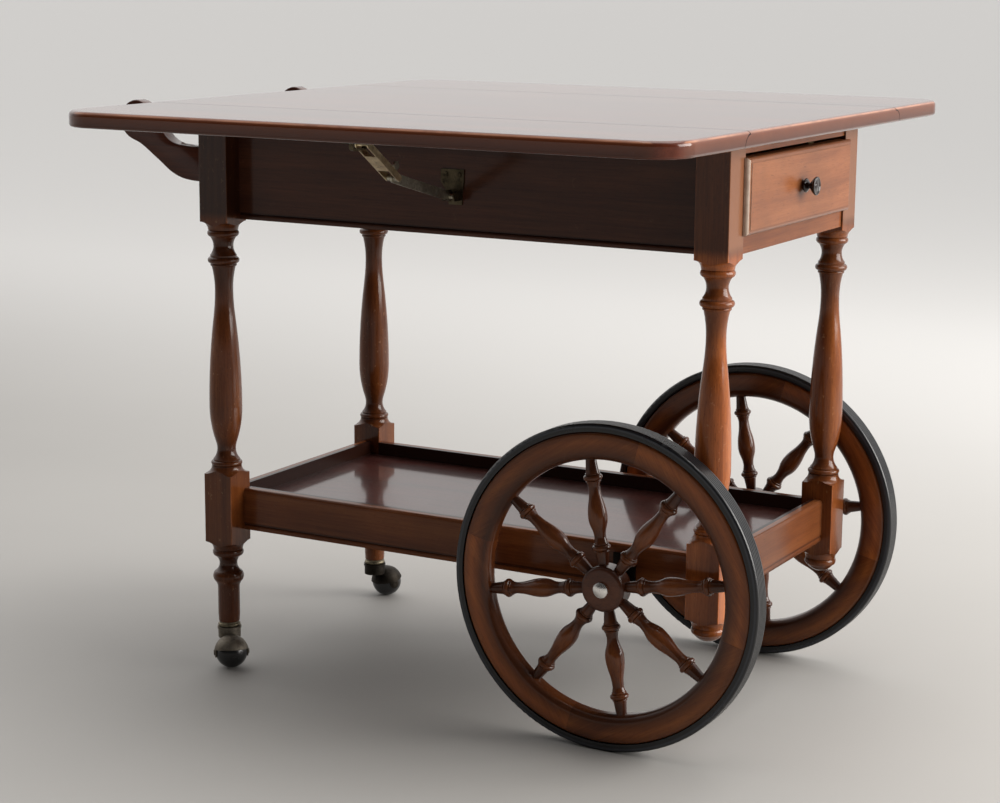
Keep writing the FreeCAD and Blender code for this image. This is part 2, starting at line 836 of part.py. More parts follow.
def strip(body, hand, bottom, height):
    """Strip along the inner face of an apron."""
    y = apron_back - S.runner_width if hand == FAR else -apron_back
    section = draw(body, "YZ", box_corners(as_size(y), bottom, S.runner_width, height), offset=run_start)
    pad(body, section, run_end - run_start)


def runners():
    for side, hand in sides:
        body = part("drawer_runner_" + side)
        strip(body, hand, rail_top - S.runner_height, S.runner_height)
    body = part("drawer_kickers")
    low = box_top + S.drawer_kicker_gap
    for side, hand in sides:
        strip(body, hand, low, top_bottom - low)


# Tray shelf.


def notched(half_x, half_y):
    """Outline of a board that fits between the legs."""
    return [
        (-half_x, -inner_y), (-inner_x, -inner_y), (-inner_x, -half_y), (inner_x, -half_y),
        (inner_x, -inner_y), (half_x, -inner_y), (half_x, inner_y), (inner_x, inner_y),
        (inner_x, half_y), (-inner_x, half_y), (-inner_x, inner_y), (-half_x, inner_y),
    ]


def tray():
    board_bottom = S.tray_board_top - S.tray_board_thickness
    end_face = S.frame_length / 2 - S.tray_end_inset
    end_back = end_face - S.apron_thickness
    half_x = end_back + S.tray_tongue
    half_y = apron_back + S.tray_tongue
    board = part("tray_board")
    tongue = draw(board, "XY", notched(half_x, half_y), offset=board_bottom)
    pad(board, tongue, S.tray_tongue_thickness)
    flat = draw(board, "XY", notched(end_back, apron_back), offset=board_bottom)
    pad(board, flat, S.tray_board_thickness)
    for side, hand in sides:
        body = side_rail("tray_rail_" + side, hand, S.tray_rail_bottom, S.tray_rail_top, S.tray_rail_round)
        groove = box_corners(apron_back, board_bottom, S.tray_tongue, S.tray_tongue_thickness)
        pocket(body, draw(body, "YZ", groove), inner_x * 2, both=True)
        centre = (wheel_x * hand, S.wheel_radius)
        axle_hole = circles(body, "XZ", [centre], S.axle_radius, offset=-apron_face)
        pocket(body, axle_hole, S.apron_thickness, back=True)
    for end, hand in (("wheel_end", 1), ("handle_end", -1)):
        body = end_rail("tray_rail_" + end, hand, S.tray_end_inset, S.apron_thickness,
                        S.tray_rail_bottom, S.tray_rail_top, S.tray_rail_round)
        groove = box_corners(end_back, board_bottom, S.tray_tongue, S.tray_tongue_thickness)
        pocket(body, draw(body, "XZ", groove), inner_y * 2, both=True)


# Drawer.


def drawer():
    face = S.frame_length / 2 + S.drawer_stand
    front_back = face - S.drawer_front_thickness
    knob_z = top_bottom - S.knob_drop
    lip_back = S.frame_length / 2 + S.drawer_lip_gap
    bottom = rail_top + S.drawer_bottom_gap
    top = top_bottom - S.upper_rail_height - S.drawer_top_gap
    lip_half = inner_y + S.drawer_lip_overlap
    body_half = inner_y - S.drawer_front_gap
    field = face - S.drawer_field_step
    inset = S.drawer_field_inset
    panel_bottom = box_bottom + S.drawer_panel_rise
    panel_top = panel_bottom + S.drawer_panel_thickness
    side_half = apron_back - S.drawer_side_gap
    box_back = front_back - S.drawer_box_length

    front = part("drawer_front")
    lip = draw(front, "YZ", box_corners(-lip_half, bottom, lip_half * 2, top - bottom), offset=lip_back)
    pad(front, lip, field - lip_back)
    round_edges(front, S.drawer_mould_radius, lambda edge, middle: close_to(middle.x, field))
    field_half = lip_half - inset
    raised = box_corners(-field_half, bottom + inset, field_half * 2, top - bottom - inset * 2)
    pad(front, draw(front, "YZ", raised, offset=lip_back), face - lip_back)
    inner = box_corners(-body_half, bottom, body_half * 2, top - bottom)
    pad(front, draw(front, "YZ", inner, offset=front_back), lip_back - front_back)
    slot = box_corners(-side_half, panel_bottom, side_half * 2, S.drawer_panel_thickness)
    pocket(front, draw(front, "YZ", slot, offset=front_back), S.drawer_groove, back=True)
    dowel = circles(front, "YZ", [(0, knob_z)], S.knob_dowel_radius, offset=face)
    pocket(front, dowel, S.knob_dowel_length)

    inside = side_half - S.drawer_side_thickness
    for side, hand in sides:
        body = part("drawer_side_" + side, angle=0 if hand == FAR else 180,
                    x=ZERO if hand == FAR else front_back + box_back)
        profile = box_corners(inside, box_bottom, S.drawer_side_thickness, S.drawer_side_height)
        pad(body, draw(body, "YZ", profile, offset=box_back), S.drawer_box_length)
        groove = box_corners(inside, panel_bottom, S.drawer_groove, S.drawer_panel_thickness)
        pocket(body, draw(body, "YZ", groove, offset=box_back), S.drawer_box_length, back=True)

    back = part("drawer_back")
    profile = box_corners(-inside, panel_top, inside * 2, box_top - panel_top)
    pad(back, draw(back, "YZ", profile, offset=box_back), S.drawer_side_thickness)

    panel = part("drawer_bottom")
    half = inside + S.drawer_groove
    board = box_corners(box_back, -half, S.drawer_box_length + S.drawer_groove, half * 2)
    pad(panel, draw(panel, "XY", board, offset=panel_bottom), S.drawer_panel_thickness)

    knob = part("drawer_knob", x=face, z=knob_z)
    edge = S.knob_head_radius - S.knob_edge_bulge
    crown, shoulder = (S.knob_reach, ZERO), (S.knob_reach - S.knob_crown, edge)
    rim = (S.knob_head_reach, edge)
    base = S.knob_base_radius - S.knob_base_bulge
    base_front, base_back = (S.knob_base_depth, base), (ZERO, base)
    spin(knob, draw(knob, "XZ", [
        (-S.knob_dowel_length, ZERO),
        (*crown, dome_radius(edge, S.knob_crown)),
        (*shoulder, bow_radius(shoulder, rim, S.knob_edge_bulge)),
        rim,
        (S.knob_neck_reach, S.knob_neck_radius),
        (S.knob_base_depth, S.knob_neck_radius),
        (*base_front, bow_radius(base_front, base_back, S.knob_base_bulge)),
        base_back,
        (ZERO, S.knob_dowel_radius),
        (-S.knob_dowel_length, S.knob_dowel_radius),
    ]), axis="H_Axis")


# Push handle.


def handle():
    root_x = -S.frame_length / 2
    head_x = root_x - S.handle_head_reach
    head_z = top_bottom - S.handle_head_drop
    root_top = top_bottom - S.handle_root_drop
    root_bottom = root_top - S.handle_root_depth
    radius = S.handle_head_radius
    lower = (root_x - S.handle_lower_straight, root_bottom)
    head_low = (head_x, head_z - radius)
    across, up = lower[0] - head_low[0], head_low[1] - lower[1]
    whole = (across * across + up * up) / (2 * up)
    share = S.handle_curve_share
    meeting = (lower[0] - across * share, lower[1] + up * share)
    tip = (head_x + radius * cosine(S.handle_head_angle), head_z + radius * sine(S.handle_head_angle))
    upper = (root_x - S.handle_upper_straight, root_top)
    reach, rise = upper[0] - tip[0], tip[1] - upper[1]
    sweep = (reach * reach + rise * rise) / (2 * rise)
    outline = [
        (root_x, root_bottom),
        (root_x, root_top),
        (*upper, -sweep),
        (*tip, radius),
        (head_x, head_z + radius, radius),
        (head_x - radius, head_z, radius),
        (*head_low, whole * (1 - share)),
        (*meeting, -(whole * share)),
        lower,
    ]
    half = S.handle_thickness / 2
    inner = leg_y - half
    for side, hand in sides:
        body = part("handle_arm_" + side, y=leg_y * hand)
        pad(body, draw(body, "XZ", outline), S.handle_thickness, both=True)
        round_edges(body, S.handle_notch_round, lambda edge, middle: close_to(middle.x, tip[0])
                    and close_to(middle.z, tip[1]))
        round_edges(body, S.handle_round, lambda edge, middle: close_to(abs(middle.y), half)
                    and not close_to(middle.x, root_x))
        bore = circles(body, "XZ", [(head_x, head_z)], S.handle_dowel_radius, offset=half * hand)
        pocket(body, bore, S.handle_dowel_length, back=hand == NEAR)
    bar = part("handle_bar", x=head_x, z=head_z)
    reach = inner + S.handle_dowel_length
    bow = S.handle_bar_radius - S.handle_bar_end_radius
    left, right = (-inner, S.handle_bar_end_radius), (inner, S.handle_bar_end_radius)
    spin(bar, draw(bar, "YZ", [
        (-reach, ZERO),
        (reach, ZERO),
        (reach, S.handle_dowel_radius),
        (inner, S.handle_dowel_radius),
        (*right, bow_radius(right, left, bow)),
        left,
        (-inner, S.handle_dowel_radius),
        (-reach, S.handle_dowel_radius),
    ]), axis="H_Axis")


# Wheels.


spoke_count = 8
felloe_count = 4
tread_grooves = 5
wheel_x = S.frame_length / 2 - S.axle_setback
wheel_y = S.frame_width / 2 + S.wheel_leg_gap + S.hub_width / 2
rim_outer = S.wheel_radius - S.tyre_depth


def wheel_part(label, hand):
    where = dict(x=wheel_x, y=wheel_y * hand, z=S.wheel_radius)
    return part(label, **where, axis=(0, -1, 0), angle=S.wheel_phase)


def ringed_bead(place):
    """Bead of a spoke between two small rings, from the rim end to the hub end."""
    half = S.spoke_bead_width / 2
    far = half + S.spoke_ring_width
    shoulder = S.spoke_shoulder
    ring, full = S.spoke_ring - shoulder, S.spoke_bead - shoulder
    corners = [(place + offset, shoulder) for offset in (far, half, -half, -far)]
    bulges = (ring, full, ring)
    return [
        (*start, bow_radius(start, end, bulge))
        for start, end, bulge in zip(corners, corners[1:], bulges)
    ] + [corners[-1]]


def spoke_outline():
    """Half outline of one turned spoke along the X axis."""
    start = S.hub_radius - S.spoke_tenon_depth
    end = S.rim_inner_radius + S.spoke_tenon_depth
    neck = S.spoke_neck
    vase_low = (S.spoke_inner_neck_place, neck)
    vase = (S.spoke_vase_place, S.spoke_vase)
    vase_high = (S.spoke_outer_neck_place, neck)
    across, up = vase[0] - vase_low[0], vase[1] - vase_low[1]
    rise = (across * across + up * up) / (2 * up)
    run, fall = vase_high[0] - vase[0], vase[1] - vase_high[1]
    drop = (run * run + fall * fall) / (2 * fall)
    middle_up = (vase_low[0] + across / 2, vase_low[1] + up / 2)
    middle_down = (vase[0] + run / 2, vase[1] - fall / 2)
    return [
        (start, ZERO), (end, ZERO), (end, S.spoke_end), (S.rim_inner_radius, S.spoke_end),
        *ringed_bead(S.spoke_outer_bead_place),
        (*vase_high, -drop / 2), (*middle_down, drop / 2),
        (*vase, rise / 2), (*middle_up, -rise / 2), vase_low,
        *ringed_bead(S.spoke_bead_place),
        (S.hub_radius, S.spoke_end), (start, S.spoke_end),
    ]


def wheel(side, hand):
    tyre = wheel_part("wheel_tyre_" + side, hand)
    half = S.tyre_width / 2
    shoulder = S.wheel_radius - S.tyre_round
    tread = []
    for number in range(tread_grooves):
        middle = S.tread_pitch * ((tread_grooves - 1) / 2 - number)
        tread += [
            (middle + S.tread_groove_width / 2, S.wheel_radius),
            (middle, S.wheel_radius - S.tread_groove_depth),
            (middle - S.tread_groove_width / 2, S.wheel_radius),
        ]
    spin(tyre, draw(tyre, "YZ", [
        (-S.rim_width / 2, rim_outer), (S.rim_width / 2, rim_outer),
        (half, rim_outer + S.tyre_bevel), (half, shoulder, S.tyre_round),
        (half - S.tyre_round, S.wheel_radius),
        *tread,
        (-half + S.tyre_round, S.wheel_radius, S.tyre_round),
        (-half, shoulder), (-half, rim_outer + S.tyre_bevel),
    ]), axis="H_Axis")

    rim = wheel_part("wheel_rim_" + side, hand)
    half = S.rim_width / 2
    low, high = S.rim_inner_radius, rim_outer
    inner, outer = S.rim_inner_round, S.rim_round
    spin(rim, draw(rim, "YZ", [
        (-half + inner, low), (half - inner, low, inner), (half, low + inner),
        (half, high - outer, outer), (half - outer, high), (-half + outer, high, outer),
        (-half, high - outer), (-half, low + inner, inner),
    ]), axis="H_Axis")
    reach = S.rim_inner_radius + S.spoke_tenon_depth - S.hub_radius
    mortise = draw(rim, "XZ", box_corners(S.hub_radius, ZERO, reach, S.spoke_end))
    cut = spin(rim, mortise, axis="H_Axis", kind="Groove")
    repeat_round(rim, [cut], "Y", spoke_count)
    inside = S.rim_inner_radius - S.rim_round
    seam = draw(rim, "XZ", [
        (inside, -S.felloe_gap / 2), (S.wheel_radius, -S.felloe_gap / 2),
        (S.wheel_radius, S.felloe_gap / 2), (inside, S.felloe_gap / 2),
    ])
    turn = FreeCAD.Rotation(FreeCAD.Vector(0, 0, 1), -180 / spoke_count)
    seam.AttachmentOffset = FreeCAD.Placement(FreeCAD.Vector(0, 0, 0), turn)
    saw = pocket(rim, seam, S.rim_width * 2, both=True)
    repeat_round(rim, [saw], "Y", felloe_count)

    hub = wheel_part("wheel_hub_" + side, hand)
    bore = S.axle_radius + S.axle_fit
    half = S.hub_width / 2
    r = S.hub_round
    spin(hub, draw(hub, "YZ", [
        (-half, bore), (half, bore), (half, S.hub_radius - r, r), (half - r, S.hub_radius),
        (-half + r, S.hub_radius, r), (-half, S.hub_radius - r),
    ]), axis="H_Axis")
    depth = S.spoke_tenon_depth
    mortise = draw(hub, "XZ", box_corners(S.hub_radius - depth, ZERO, depth * 2, S.spoke_end))
    cut = spin(hub, mortise, axis="H_Axis", kind="Groove")
    repeat_round(hub, [cut], "Y", spoke_count)

    spokes = wheel_part("wheel_spokes_" + side, hand)
    one = spin(spokes, draw(spokes, "XZ", spoke_outline()), axis="H_Axis")
    repeat_round(spokes, [one], "Y", spoke_count)

    cap = wheel_part("wheel_cap_" + side, hand)
    face = S.hub_width / 2
    room = S.axle_end_gap * 2 + S.cap_clearance
    inside = S.axle_radius + S.cap_clearance
    brim, dome = (face + S.cap_height, S.cap_radius), (face + S.cap_height + S.cap_dome, ZERO)
    sign = as_size(hand)
    cap_outline = [
        (face * sign, S.cap_radius), (face * sign, inside),
        ((face + room) * sign, inside), ((face + room) * sign, ZERO),
        (dome[0] * sign, ZERO, dome_radius(S.cap_radius, S.cap_dome) * sign), (brim[0] * sign, brim[1]),
    ]
    spin(cap, draw(cap, "YZ", cap_outline), axis="H_Axis")


def axle():
    rod = part("axle", x=wheel_x, z=S.wheel_radius)
    length = wheel_y * 2 + S.hub_width + S.axle_end_gap * 2
    pad(rod, circles(rod, "XZ", [(0, 0)], S.axle_radius), length, both=True)
    for side, hand in sides:
        body = part("axle_bracket_" + side, x=wheel_x, y=apron_face * hand, z=S.wheel_radius)
        width, height = S.bracket_plate_width, S.bracket_plate_height
        away = hand == FAR
        foot = -(height * S.bracket_plate_share)
        plate = draw(body, "XZ", box_corners(-width / 2, foot, width, height))
        pad(body, plate, S.bracket_plate_thickness, back=away)
        sleeve_end = wheel_y - S.hub_width / 2 - S.bracket_wheel_gap - apron_face
        sleeve = circles(body, "XZ", [(0, 0)], S.bracket_sleeve_radius)
        pad(body, sleeve, sleeve_end, back=away)
        tab_start = sleeve_end - S.bracket_tab_setback
        half = S.bracket_tab_width / 2
        tab = draw(body, "XZ", [
            (-half, -S.bracket_tab_drop), (half, -S.bracket_tab_drop),
            (half, S.bracket_tab_rise - half, half), (ZERO, S.bracket_tab_rise, half),
            (-half, S.bracket_tab_rise - half),
        ], offset=-(tab_start * hand))
        pad(body, tab, S.bracket_tab_thickness, back=away)
        bore = circles(body, "XZ", [(0, 0)], S.axle_radius)
        pocket(body, bore, sleeve_end, back=not away)


# Casters.


def solid(kind, name, where, **measures):
    """Part primitive with its measures bound to the sheet."""
    shape = doc.addObject("Part::" + kind, name)
    for prop, size in measures.items():
        size = as_size(size)
        setattr(shape, prop, size.value)
        shape.setExpression(prop, size.text)
    return place(shape, **where)


def combine(kind, name, first, second):
    shape = doc.addObject("Part::" + kind, name)
    shape.Base = first
    shape.Tool = second
    return shape


def fuse(name, shapes):
    joined = doc.addObject("Part::MultiFuse", name)
    joined.Shapes = shapes
    return joined


def casters():
    ferrules = part("caster_ferrules")
    low, high = S.ferrule_bottom, S.caster_leg_bottom
    hole = S.stem_radius + S.stem_fit
    ring_foot, ring_top = (S.ferrule_waist, low), (S.ferrule_waist, low + S.ferrule_ring)
    bulge = S.ferrule_radius - S.ferrule_waist
    turned = spin(ferrules, draw(ferrules, "XZ", [
        (hole, low),
        (*ring_foot, bow_radius(ring_foot, ring_top, bulge)),
        ring_top,
        (S.ferrule_waist, high),
        (hole, high),
    ]))
    place(ferrules, x=-leg_x, y=-leg_y)
    row = ferrules.newObject("PartDesign::LinearPattern", "caster_ferrules_row")
    row.Originals = [turned]
    row.Direction = (origin_feature(ferrules, "Y_Axis"), [""])
    row.Occurrences = 2
    row.Length = (leg_y * 2).value
    row.setExpression("Length", (leg_y * 2).text)
    ferrules.Tip = row

    for side, hand, angle in (("near", NEAR, S.caster_angle_near), ("far", FAR, S.caster_angle_far)):
        hood(side, dict(x=-leg_x, y=leg_y * hand, angle=angle))
        ball = part("caster_ball_" + side, x=-leg_x + S.caster_trail * cosine(angle),
                    y=leg_y * hand + S.caster_trail * sine(angle), z=S.ball_radius, angle=angle)
        radius, bore = S.ball_radius, S.caster_pin_radius + S.caster_pin_fit
        flat = root(radius * radius - bore * bore)
        outline = [(-flat, bore), (flat, bore, radius), (ZERO, radius, radius)]
        spin(ball, draw(ball, "YZ", outline), axis="H_Axis")


def hood(side, where):
    """Swivel: a shell over the upper half of the ball, ears round its pin, and a stem up into the leg."""
    name = "caster_hood_" + side
    inner = S.ball_radius + S.hood_gap
    outer = inner + S.hood_wall
    across = dict(axis=(1, 0, 0), angle=-90)
    centre = dict(x=S.caster_trail, z=S.ball_radius, **across)
    dome = solid("Sphere", name + "_dome", centre, Radius=outer)
    neck = solid("Cylinder", name + "_neck", dict(z=S.neck_bottom), Radius=S.neck_radius,
                 Height=S.collar_bottom - S.neck_bottom)
    hollow = solid("Sphere", name + "_hollow", centre, Radius=inner)
    collar = solid("Cylinder", name + "_collar", dict(z=S.collar_bottom), Radius=S.collar_radius,
                   Height=S.collar_top - S.collar_bottom)
    shell = combine("Cut", name + "_shell", fuse(name + "_domed_neck", [dome, neck, collar]), hollow)
    size = (outer + S.caster_trail) * 2
    upper = solid("Box", name + "_upper", dict(
        x=S.caster_trail - size / 2 * cosine(S.hood_slope), y=-size / 2,
        z=S.ball_radius + S.hood_lip - size / 2 * sine(S.hood_slope), axis=(0, -1, 0), angle=S.hood_slope,
    ), Length=size, Width=size, Height=size)
    ears = solid("Cylinder", name + "_ears", dict(y=-outer, **centre), Radius=S.hood_ear_half,
                 Height=outer * 2)
    cover = combine("Common", name + "_cover", shell, fuse(name + "_kept", [upper, ears]))
    stem = solid("Cylinder", name + "_stem", dict(z=S.collar_top), Radius=S.stem_radius,
                 Height=S.stem_length)
    head = S.caster_pin_head_depth
    seat = S.hood_wall / 2
    rod = solid("Cylinder", name + "_pin", dict(y=-(outer + head), **centre),
                Radius=S.caster_pin_radius, Height=(outer + head) * 2)
    heads = [
        solid("Cylinder", name + "_head", dict(y=y, **centre), Radius=S.caster_pin_head,
              Height=head + seat)
        for y in (-(outer + head), outer - seat)
    ]
    body = fuse(name, [cover, stem, rod, *heads])
    body.Label = name
    parts.append(place(body, **where))


# Hinges.


def flap(body, x, y, z, hand, fixed):
    """One flap of a hinge, with its knuckles round the pin. The flap runs from the pin along hand * Y."""
    width = S.hinge_width
    left = x - width / 2
    room = S.hinge_barrel_radius + S.hinge_gap
    knuckle = width / 3
    start = y if hand > 0 else y - S.hinge_flap_length
    plate = draw(body, "XY", box_corners(left, start, width, S.hinge_flap_length), offset=z + underside)
    pad(body, plate, S.hinge_flap_thickness)
    pad(body, circles(body, "YZ", [(y, z)], S.hinge_barrel_radius, offset=left), width)
    slack = S.hinge_gap / 2
    if fixed:
        spans = [(left + knuckle - slack, knuckle + slack * 2)]
    else:
        spans = [(left - slack, knuckle + slack * 2), (left + knuckle * 2 - slack, knuckle + slack * 2)]
    for first, length in spans:
        gap = draw(body, "XY", box_corners(first, y - room, length, room * 2), offset=z - room)
        pocket(body, gap, room * 2, back=True)
    if fixed:
        pad(body, circles(body, "YZ", [(y, z)], S.hinge_pin_radius, offset=left), width)
    else:
        bore = circles(body, "YZ", [(y, z)], S.hinge_pin_radius + S.hinge_pin_fit, offset=left)
        pocket(body, bore, width, back=True)


def hinges():
    fixed = part("hinge_fixed_flaps", x=top_x)
    for hand in (NEAR, FAR):
        for side in (-1, 1):
            flap(fixed, hinge_x * side, hinge_y * hand, hinge_z, -hand, True)
    for name, hand in sides:
        turn = 0 if hand == NEAR else 180
        moving = part("hinge_flaps_" + name, x=top_x, y=hinge_y * hand, z=hinge_z, angle=turn)
        for side in (-1, 1):
            flap(moving, hinge_x * side, ZERO, ZERO, -1, False)


# Leaf stays.

pivot_y = apron_face + S.stay_pivot_out
pivot_z = top_bottom - S.stay_pivot_drop
pin_y = hinge_y + S.stay_pin_reach
pin_z = top_bottom - S.stay_pin_drop
cheek_half = S.stay_upper_spread / 2
boss_half = cheek_half - S.stay_cheek - S.stay_side_gap
screw_z = top_bottom - S.screw_drop


def plate_x(side):
    return S.stay_place + S.stay_plate_shift + S.screw_spacing / 2 * side


def bar_outline(start, end, half):
    """Straight bar with round ends along the Y axis of its sketch plane."""
    return [
        (start, -half), (end, -half, half), (end + half, ZERO, half), (end, half),
        (start, half, half), (start - half, ZERO, half),
    ]


def across_x(body, centre, radius, half):
    """Round boss or pin across the stay."""
    return pad(body, circles(body, "YZ", [centre], radius), half * 2, both=True)


def lower_arm(side, hand):
    length = root(S.stay_knuckle_out * S.stay_knuckle_out + S.stay_knuckle_up * S.stay_knuckle_up)
    angle = bearing(S.stay_knuckle_out * hand, S.stay_knuckle_up)
    body = part("stay_lower_arm_" + side, x=S.stay_place, y=pivot_y * hand, z=pivot_z,
                axis=(1, 0, 0), angle=angle)
    half = S.stay_lower_width / 2
    pad(body, draw(body, "YZ", bar_outline(ZERO, length, half)), S.stay_lower_thickness, both=True)
    tab_z = S.finger_disc_rise * hand
    tab_y = length - S.finger_tab_setback
    width = S.finger_tab_width
    neck = box_corners(tab_y - width / 2, ZERO if hand > 0 else tab_z, width, S.finger_disc_rise)
    pad(body, draw(body, "YZ", neck), S.stay_lower_thickness, both=True)
    across_x(body, (tab_y, tab_z), S.finger_disc_radius, S.stay_lower_thickness / 2)
    for y in (ZERO, length):
        across_x(body, (y, ZERO), S.stay_boss_radius, boss_half)
    bores = circles(body, "YZ", [(ZERO, ZERO), (length, ZERO)], S.stay_pin_radius + S.stay_pin_fit)
    pocket(body, bores, S.stay_upper_spread, both=True)


def upper_arm(side, hand):
    knuckle_y = pivot_y + S.stay_knuckle_out
    knuckle_z = pivot_z + S.stay_knuckle_up
    out, up = pin_y - knuckle_y, pin_z - knuckle_z
    length = root(out * out + up * up)
    body = part("stay_upper_arm_" + side, x=S.stay_place, y=knuckle_y * hand, z=knuckle_z,
                axis=(1, 0, 0), angle=bearing(out * hand, up))
    half = S.stay_upper_width / 2
    for face in (-cheek_half, cheek_half - S.stay_cheek):
        pad(body, draw(body, "YZ", bar_outline(ZERO, length, half), offset=face), S.stay_cheek)
    web_y = S.stay_web_end - S.stay_web_start
    web_z = half - S.stay_cheek if hand < 0 else -half
    web = draw(body, "YZ", box_corners(S.stay_web_start, web_z, web_y, S.stay_cheek))
    pad(body, web, S.stay_upper_spread, both=True)
    for y in (ZERO, length):
        across_x(body, (y, ZERO), S.stay_pin_radius, cheek_half)


def leaf_bracket(side, hand):
    """Plate under the leaf with a slotted lug; the upper arm's pin slides in the slot as the leaf drops."""
    body = part("stay_leaf_bracket_" + side, x=S.stay_place, y=hinge_y * hand, z=hinge_z,
                angle=0 if hand == NEAR else 180)
    hole = S.stay_pin_radius + S.slot_slack
    inner = -S.stay_pin_reach + S.slot_end_gap + S.stay_pin_radius - hole
    outer = -S.stay_pin_reach - S.slot_travel - S.slot_end_gap - S.stay_pin_radius + hole
    centre = underside - S.stay_pin_drop
    half = hole + S.slot_wall
    lug = [
        (outer, centre - half), (inner, centre - half, half), (inner + half, centre),
        (inner + half, underside), (outer - half, underside), (outer - half, centre, half),
    ]
    pad(body, draw(body, "YZ", lug), S.slot_lug_thickness, both=True)
    slot = [
        (outer, centre - hole), (inner, centre - hole, hole), (inner + hole, centre, hole),
        (inner, centre + hole), (outer, centre + hole, hole), (outer - hole, centre, hole),
    ]
    pocket(body, draw(body, "YZ", slot), S.slot_lug_thickness * 2, both=True)
    start = outer - half - S.leaf_plate_overhang
    length = inner + half + S.leaf_plate_overhang - start
    plate = box_corners(-S.leaf_plate_width / 2, start, S.leaf_plate_width, length)
    pad(body, draw(body, "XY", plate, offset=underside - S.leaf_plate_thickness), S.leaf_plate_thickness)


def apron_bracket(side, hand):
    """Plate screwed to the apron, with two lugs that hold the pin of the lower arm."""
    body = part("stay_apron_bracket_" + side, x=S.stay_place, y=apron_face * hand)
    away = hand == FAR
    half = S.stay_plate_width / 2
    foot = S.stay_plate_foot / 2
    shift = S.stay_plate_shift
    top = top_bottom - S.stay_plate_top_drop
    shoulder = top_bottom - S.stay_plate_shoulder_drop
    bottom = top_bottom - S.stay_plate_bottom_drop
    outline = [
        (shift - half, shoulder), (-foot, pivot_z), (-foot, bottom), (foot, bottom), (foot, pivot_z),
        (shift + half, shoulder), (shift + half, top), (shift - half, top),
    ]
    pad(body, draw(body, "XZ", outline), S.stay_plate_thickness, back=away)
    reach = S.stay_pivot_out
    radius = S.stay_lug_radius
    lug_inside = boss_half + S.stay_side_gap
    for face in (-lug_inside - S.stay_lug_thickness, lug_inside):
        if hand == NEAR:
            lug = [
                (ZERO, pivot_z - radius), (ZERO, pivot_z + radius), (-reach, pivot_z + radius, radius),
                (-reach - radius, pivot_z, radius), (-reach, pivot_z - radius),
            ]
        else:
            lug = [
                (ZERO, pivot_z - radius), (reach, pivot_z - radius, radius),
                (reach + radius, pivot_z, radius), (reach, pivot_z + radius), (ZERO, pivot_z + radius),
            ]
        pad(body, draw(body, "YZ", lug, offset=face), S.stay_lug_thickness)
    pin_half = lug_inside + S.stay_lug_thickness
    across_x(body, (S.stay_pivot_out * hand, pivot_z), S.stay_pin_radius, pin_half)
    holes = [(plate_x(-1) - S.stay_place, screw_z), (plate_x(1) - S.stay_place, screw_z)]
    pocket(body, circles(body, "XZ", holes, S.screw_shank_radius), S.stay_plate_thickness, back=not away)


def bracket_screws():
    body = part("bracket_screws")
    for side, hand in sides:
        away = hand == FAR
        centres = [(plate_x(-1), screw_z), (plate_x(1), screw_z)]
        seat = -((apron_face + S.stay_plate_thickness) * hand)
        heads = circles(body, "XZ", centres, S.screw_head_radius, offset=seat)
        pad(body, heads, S.screw_head_height, back=away)
        shanks = circles(body, "XZ", centres, S.screw_shank_radius, offset=seat)
        pad(body, shanks, S.screw_length, back=not away)
        for x, z in centres:
            corners = box_corners(x - S.screw_head_radius, z - S.screw_slot_width / 2,
                                  S.screw_head_radius * 2, S.screw_slot_width)
            face = seat - S.screw_head_height * hand
            slot = draw(body, "XZ", corners, offset=face)
            pocket(body, slot, S.screw_slot_depth, back=away)


def stays():
    bracket_screws()
    for side, hand in sides:
        apron_bracket(side, hand)
        lower_arm(side, hand)
        upper_arm(side, hand)
        leaf_bracket(side, hand)


# The whole trolley.

centre_top()
aprons()
drawer_rails()
runners()
tray()
drawer()
handle()
axle()
casters()
hinges()
stays()
for side, hand in sides:
    leaf(side, hand)
    leg(side, "wheel_end", hand, False)
    leg(side, "handle_end", hand, True)
    wheel(side, hand)

doc.recompute()

faults = []
least_cut = 0.01
for feature in doc.Objects:
    if "Invalid" in feature.State or "Error" in feature.State:
        faults.append(f"{feature.Label} failed: {feature.State}")
    elif feature.TypeId in ("PartDesign::Pocket", "PartDesign::Groove"):
        if feature.Shape.Volume > feature.BaseFeature.Shape.Volume - least_cut:
            faults.append(f"{feature.Label} cuts nothing")
for body in parts:
    if body.Shape.isNull() or not body.Shape.isValid() or not body.Shape.Solids:
        faults.append(body.Label + " has no valid solid")
if faults:
    raise RuntimeError("; ".join(faults))

os.makedirs("parts", exist_ok=True)
for body in parts:
    body.Shape.exportStep(f"parts/{body.Label}.step")
print(len(parts), "sub-parts written")
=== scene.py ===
import math

import bpy
from mathutils import Matrix, Vector


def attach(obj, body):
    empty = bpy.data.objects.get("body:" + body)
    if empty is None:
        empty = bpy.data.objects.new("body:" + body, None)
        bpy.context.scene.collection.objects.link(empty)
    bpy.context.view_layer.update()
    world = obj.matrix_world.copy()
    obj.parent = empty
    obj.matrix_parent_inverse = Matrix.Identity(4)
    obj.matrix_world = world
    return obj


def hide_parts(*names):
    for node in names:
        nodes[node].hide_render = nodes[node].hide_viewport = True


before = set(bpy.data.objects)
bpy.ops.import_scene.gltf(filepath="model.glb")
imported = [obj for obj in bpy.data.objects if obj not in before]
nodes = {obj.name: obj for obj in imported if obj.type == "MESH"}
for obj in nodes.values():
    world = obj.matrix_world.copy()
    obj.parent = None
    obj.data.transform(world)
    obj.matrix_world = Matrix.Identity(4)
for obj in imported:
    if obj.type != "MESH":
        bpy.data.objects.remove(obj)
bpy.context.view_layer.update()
bpy.ops.object.select_all(action="DESELECT")
print("frame loaded:", len(nodes), "nodes")

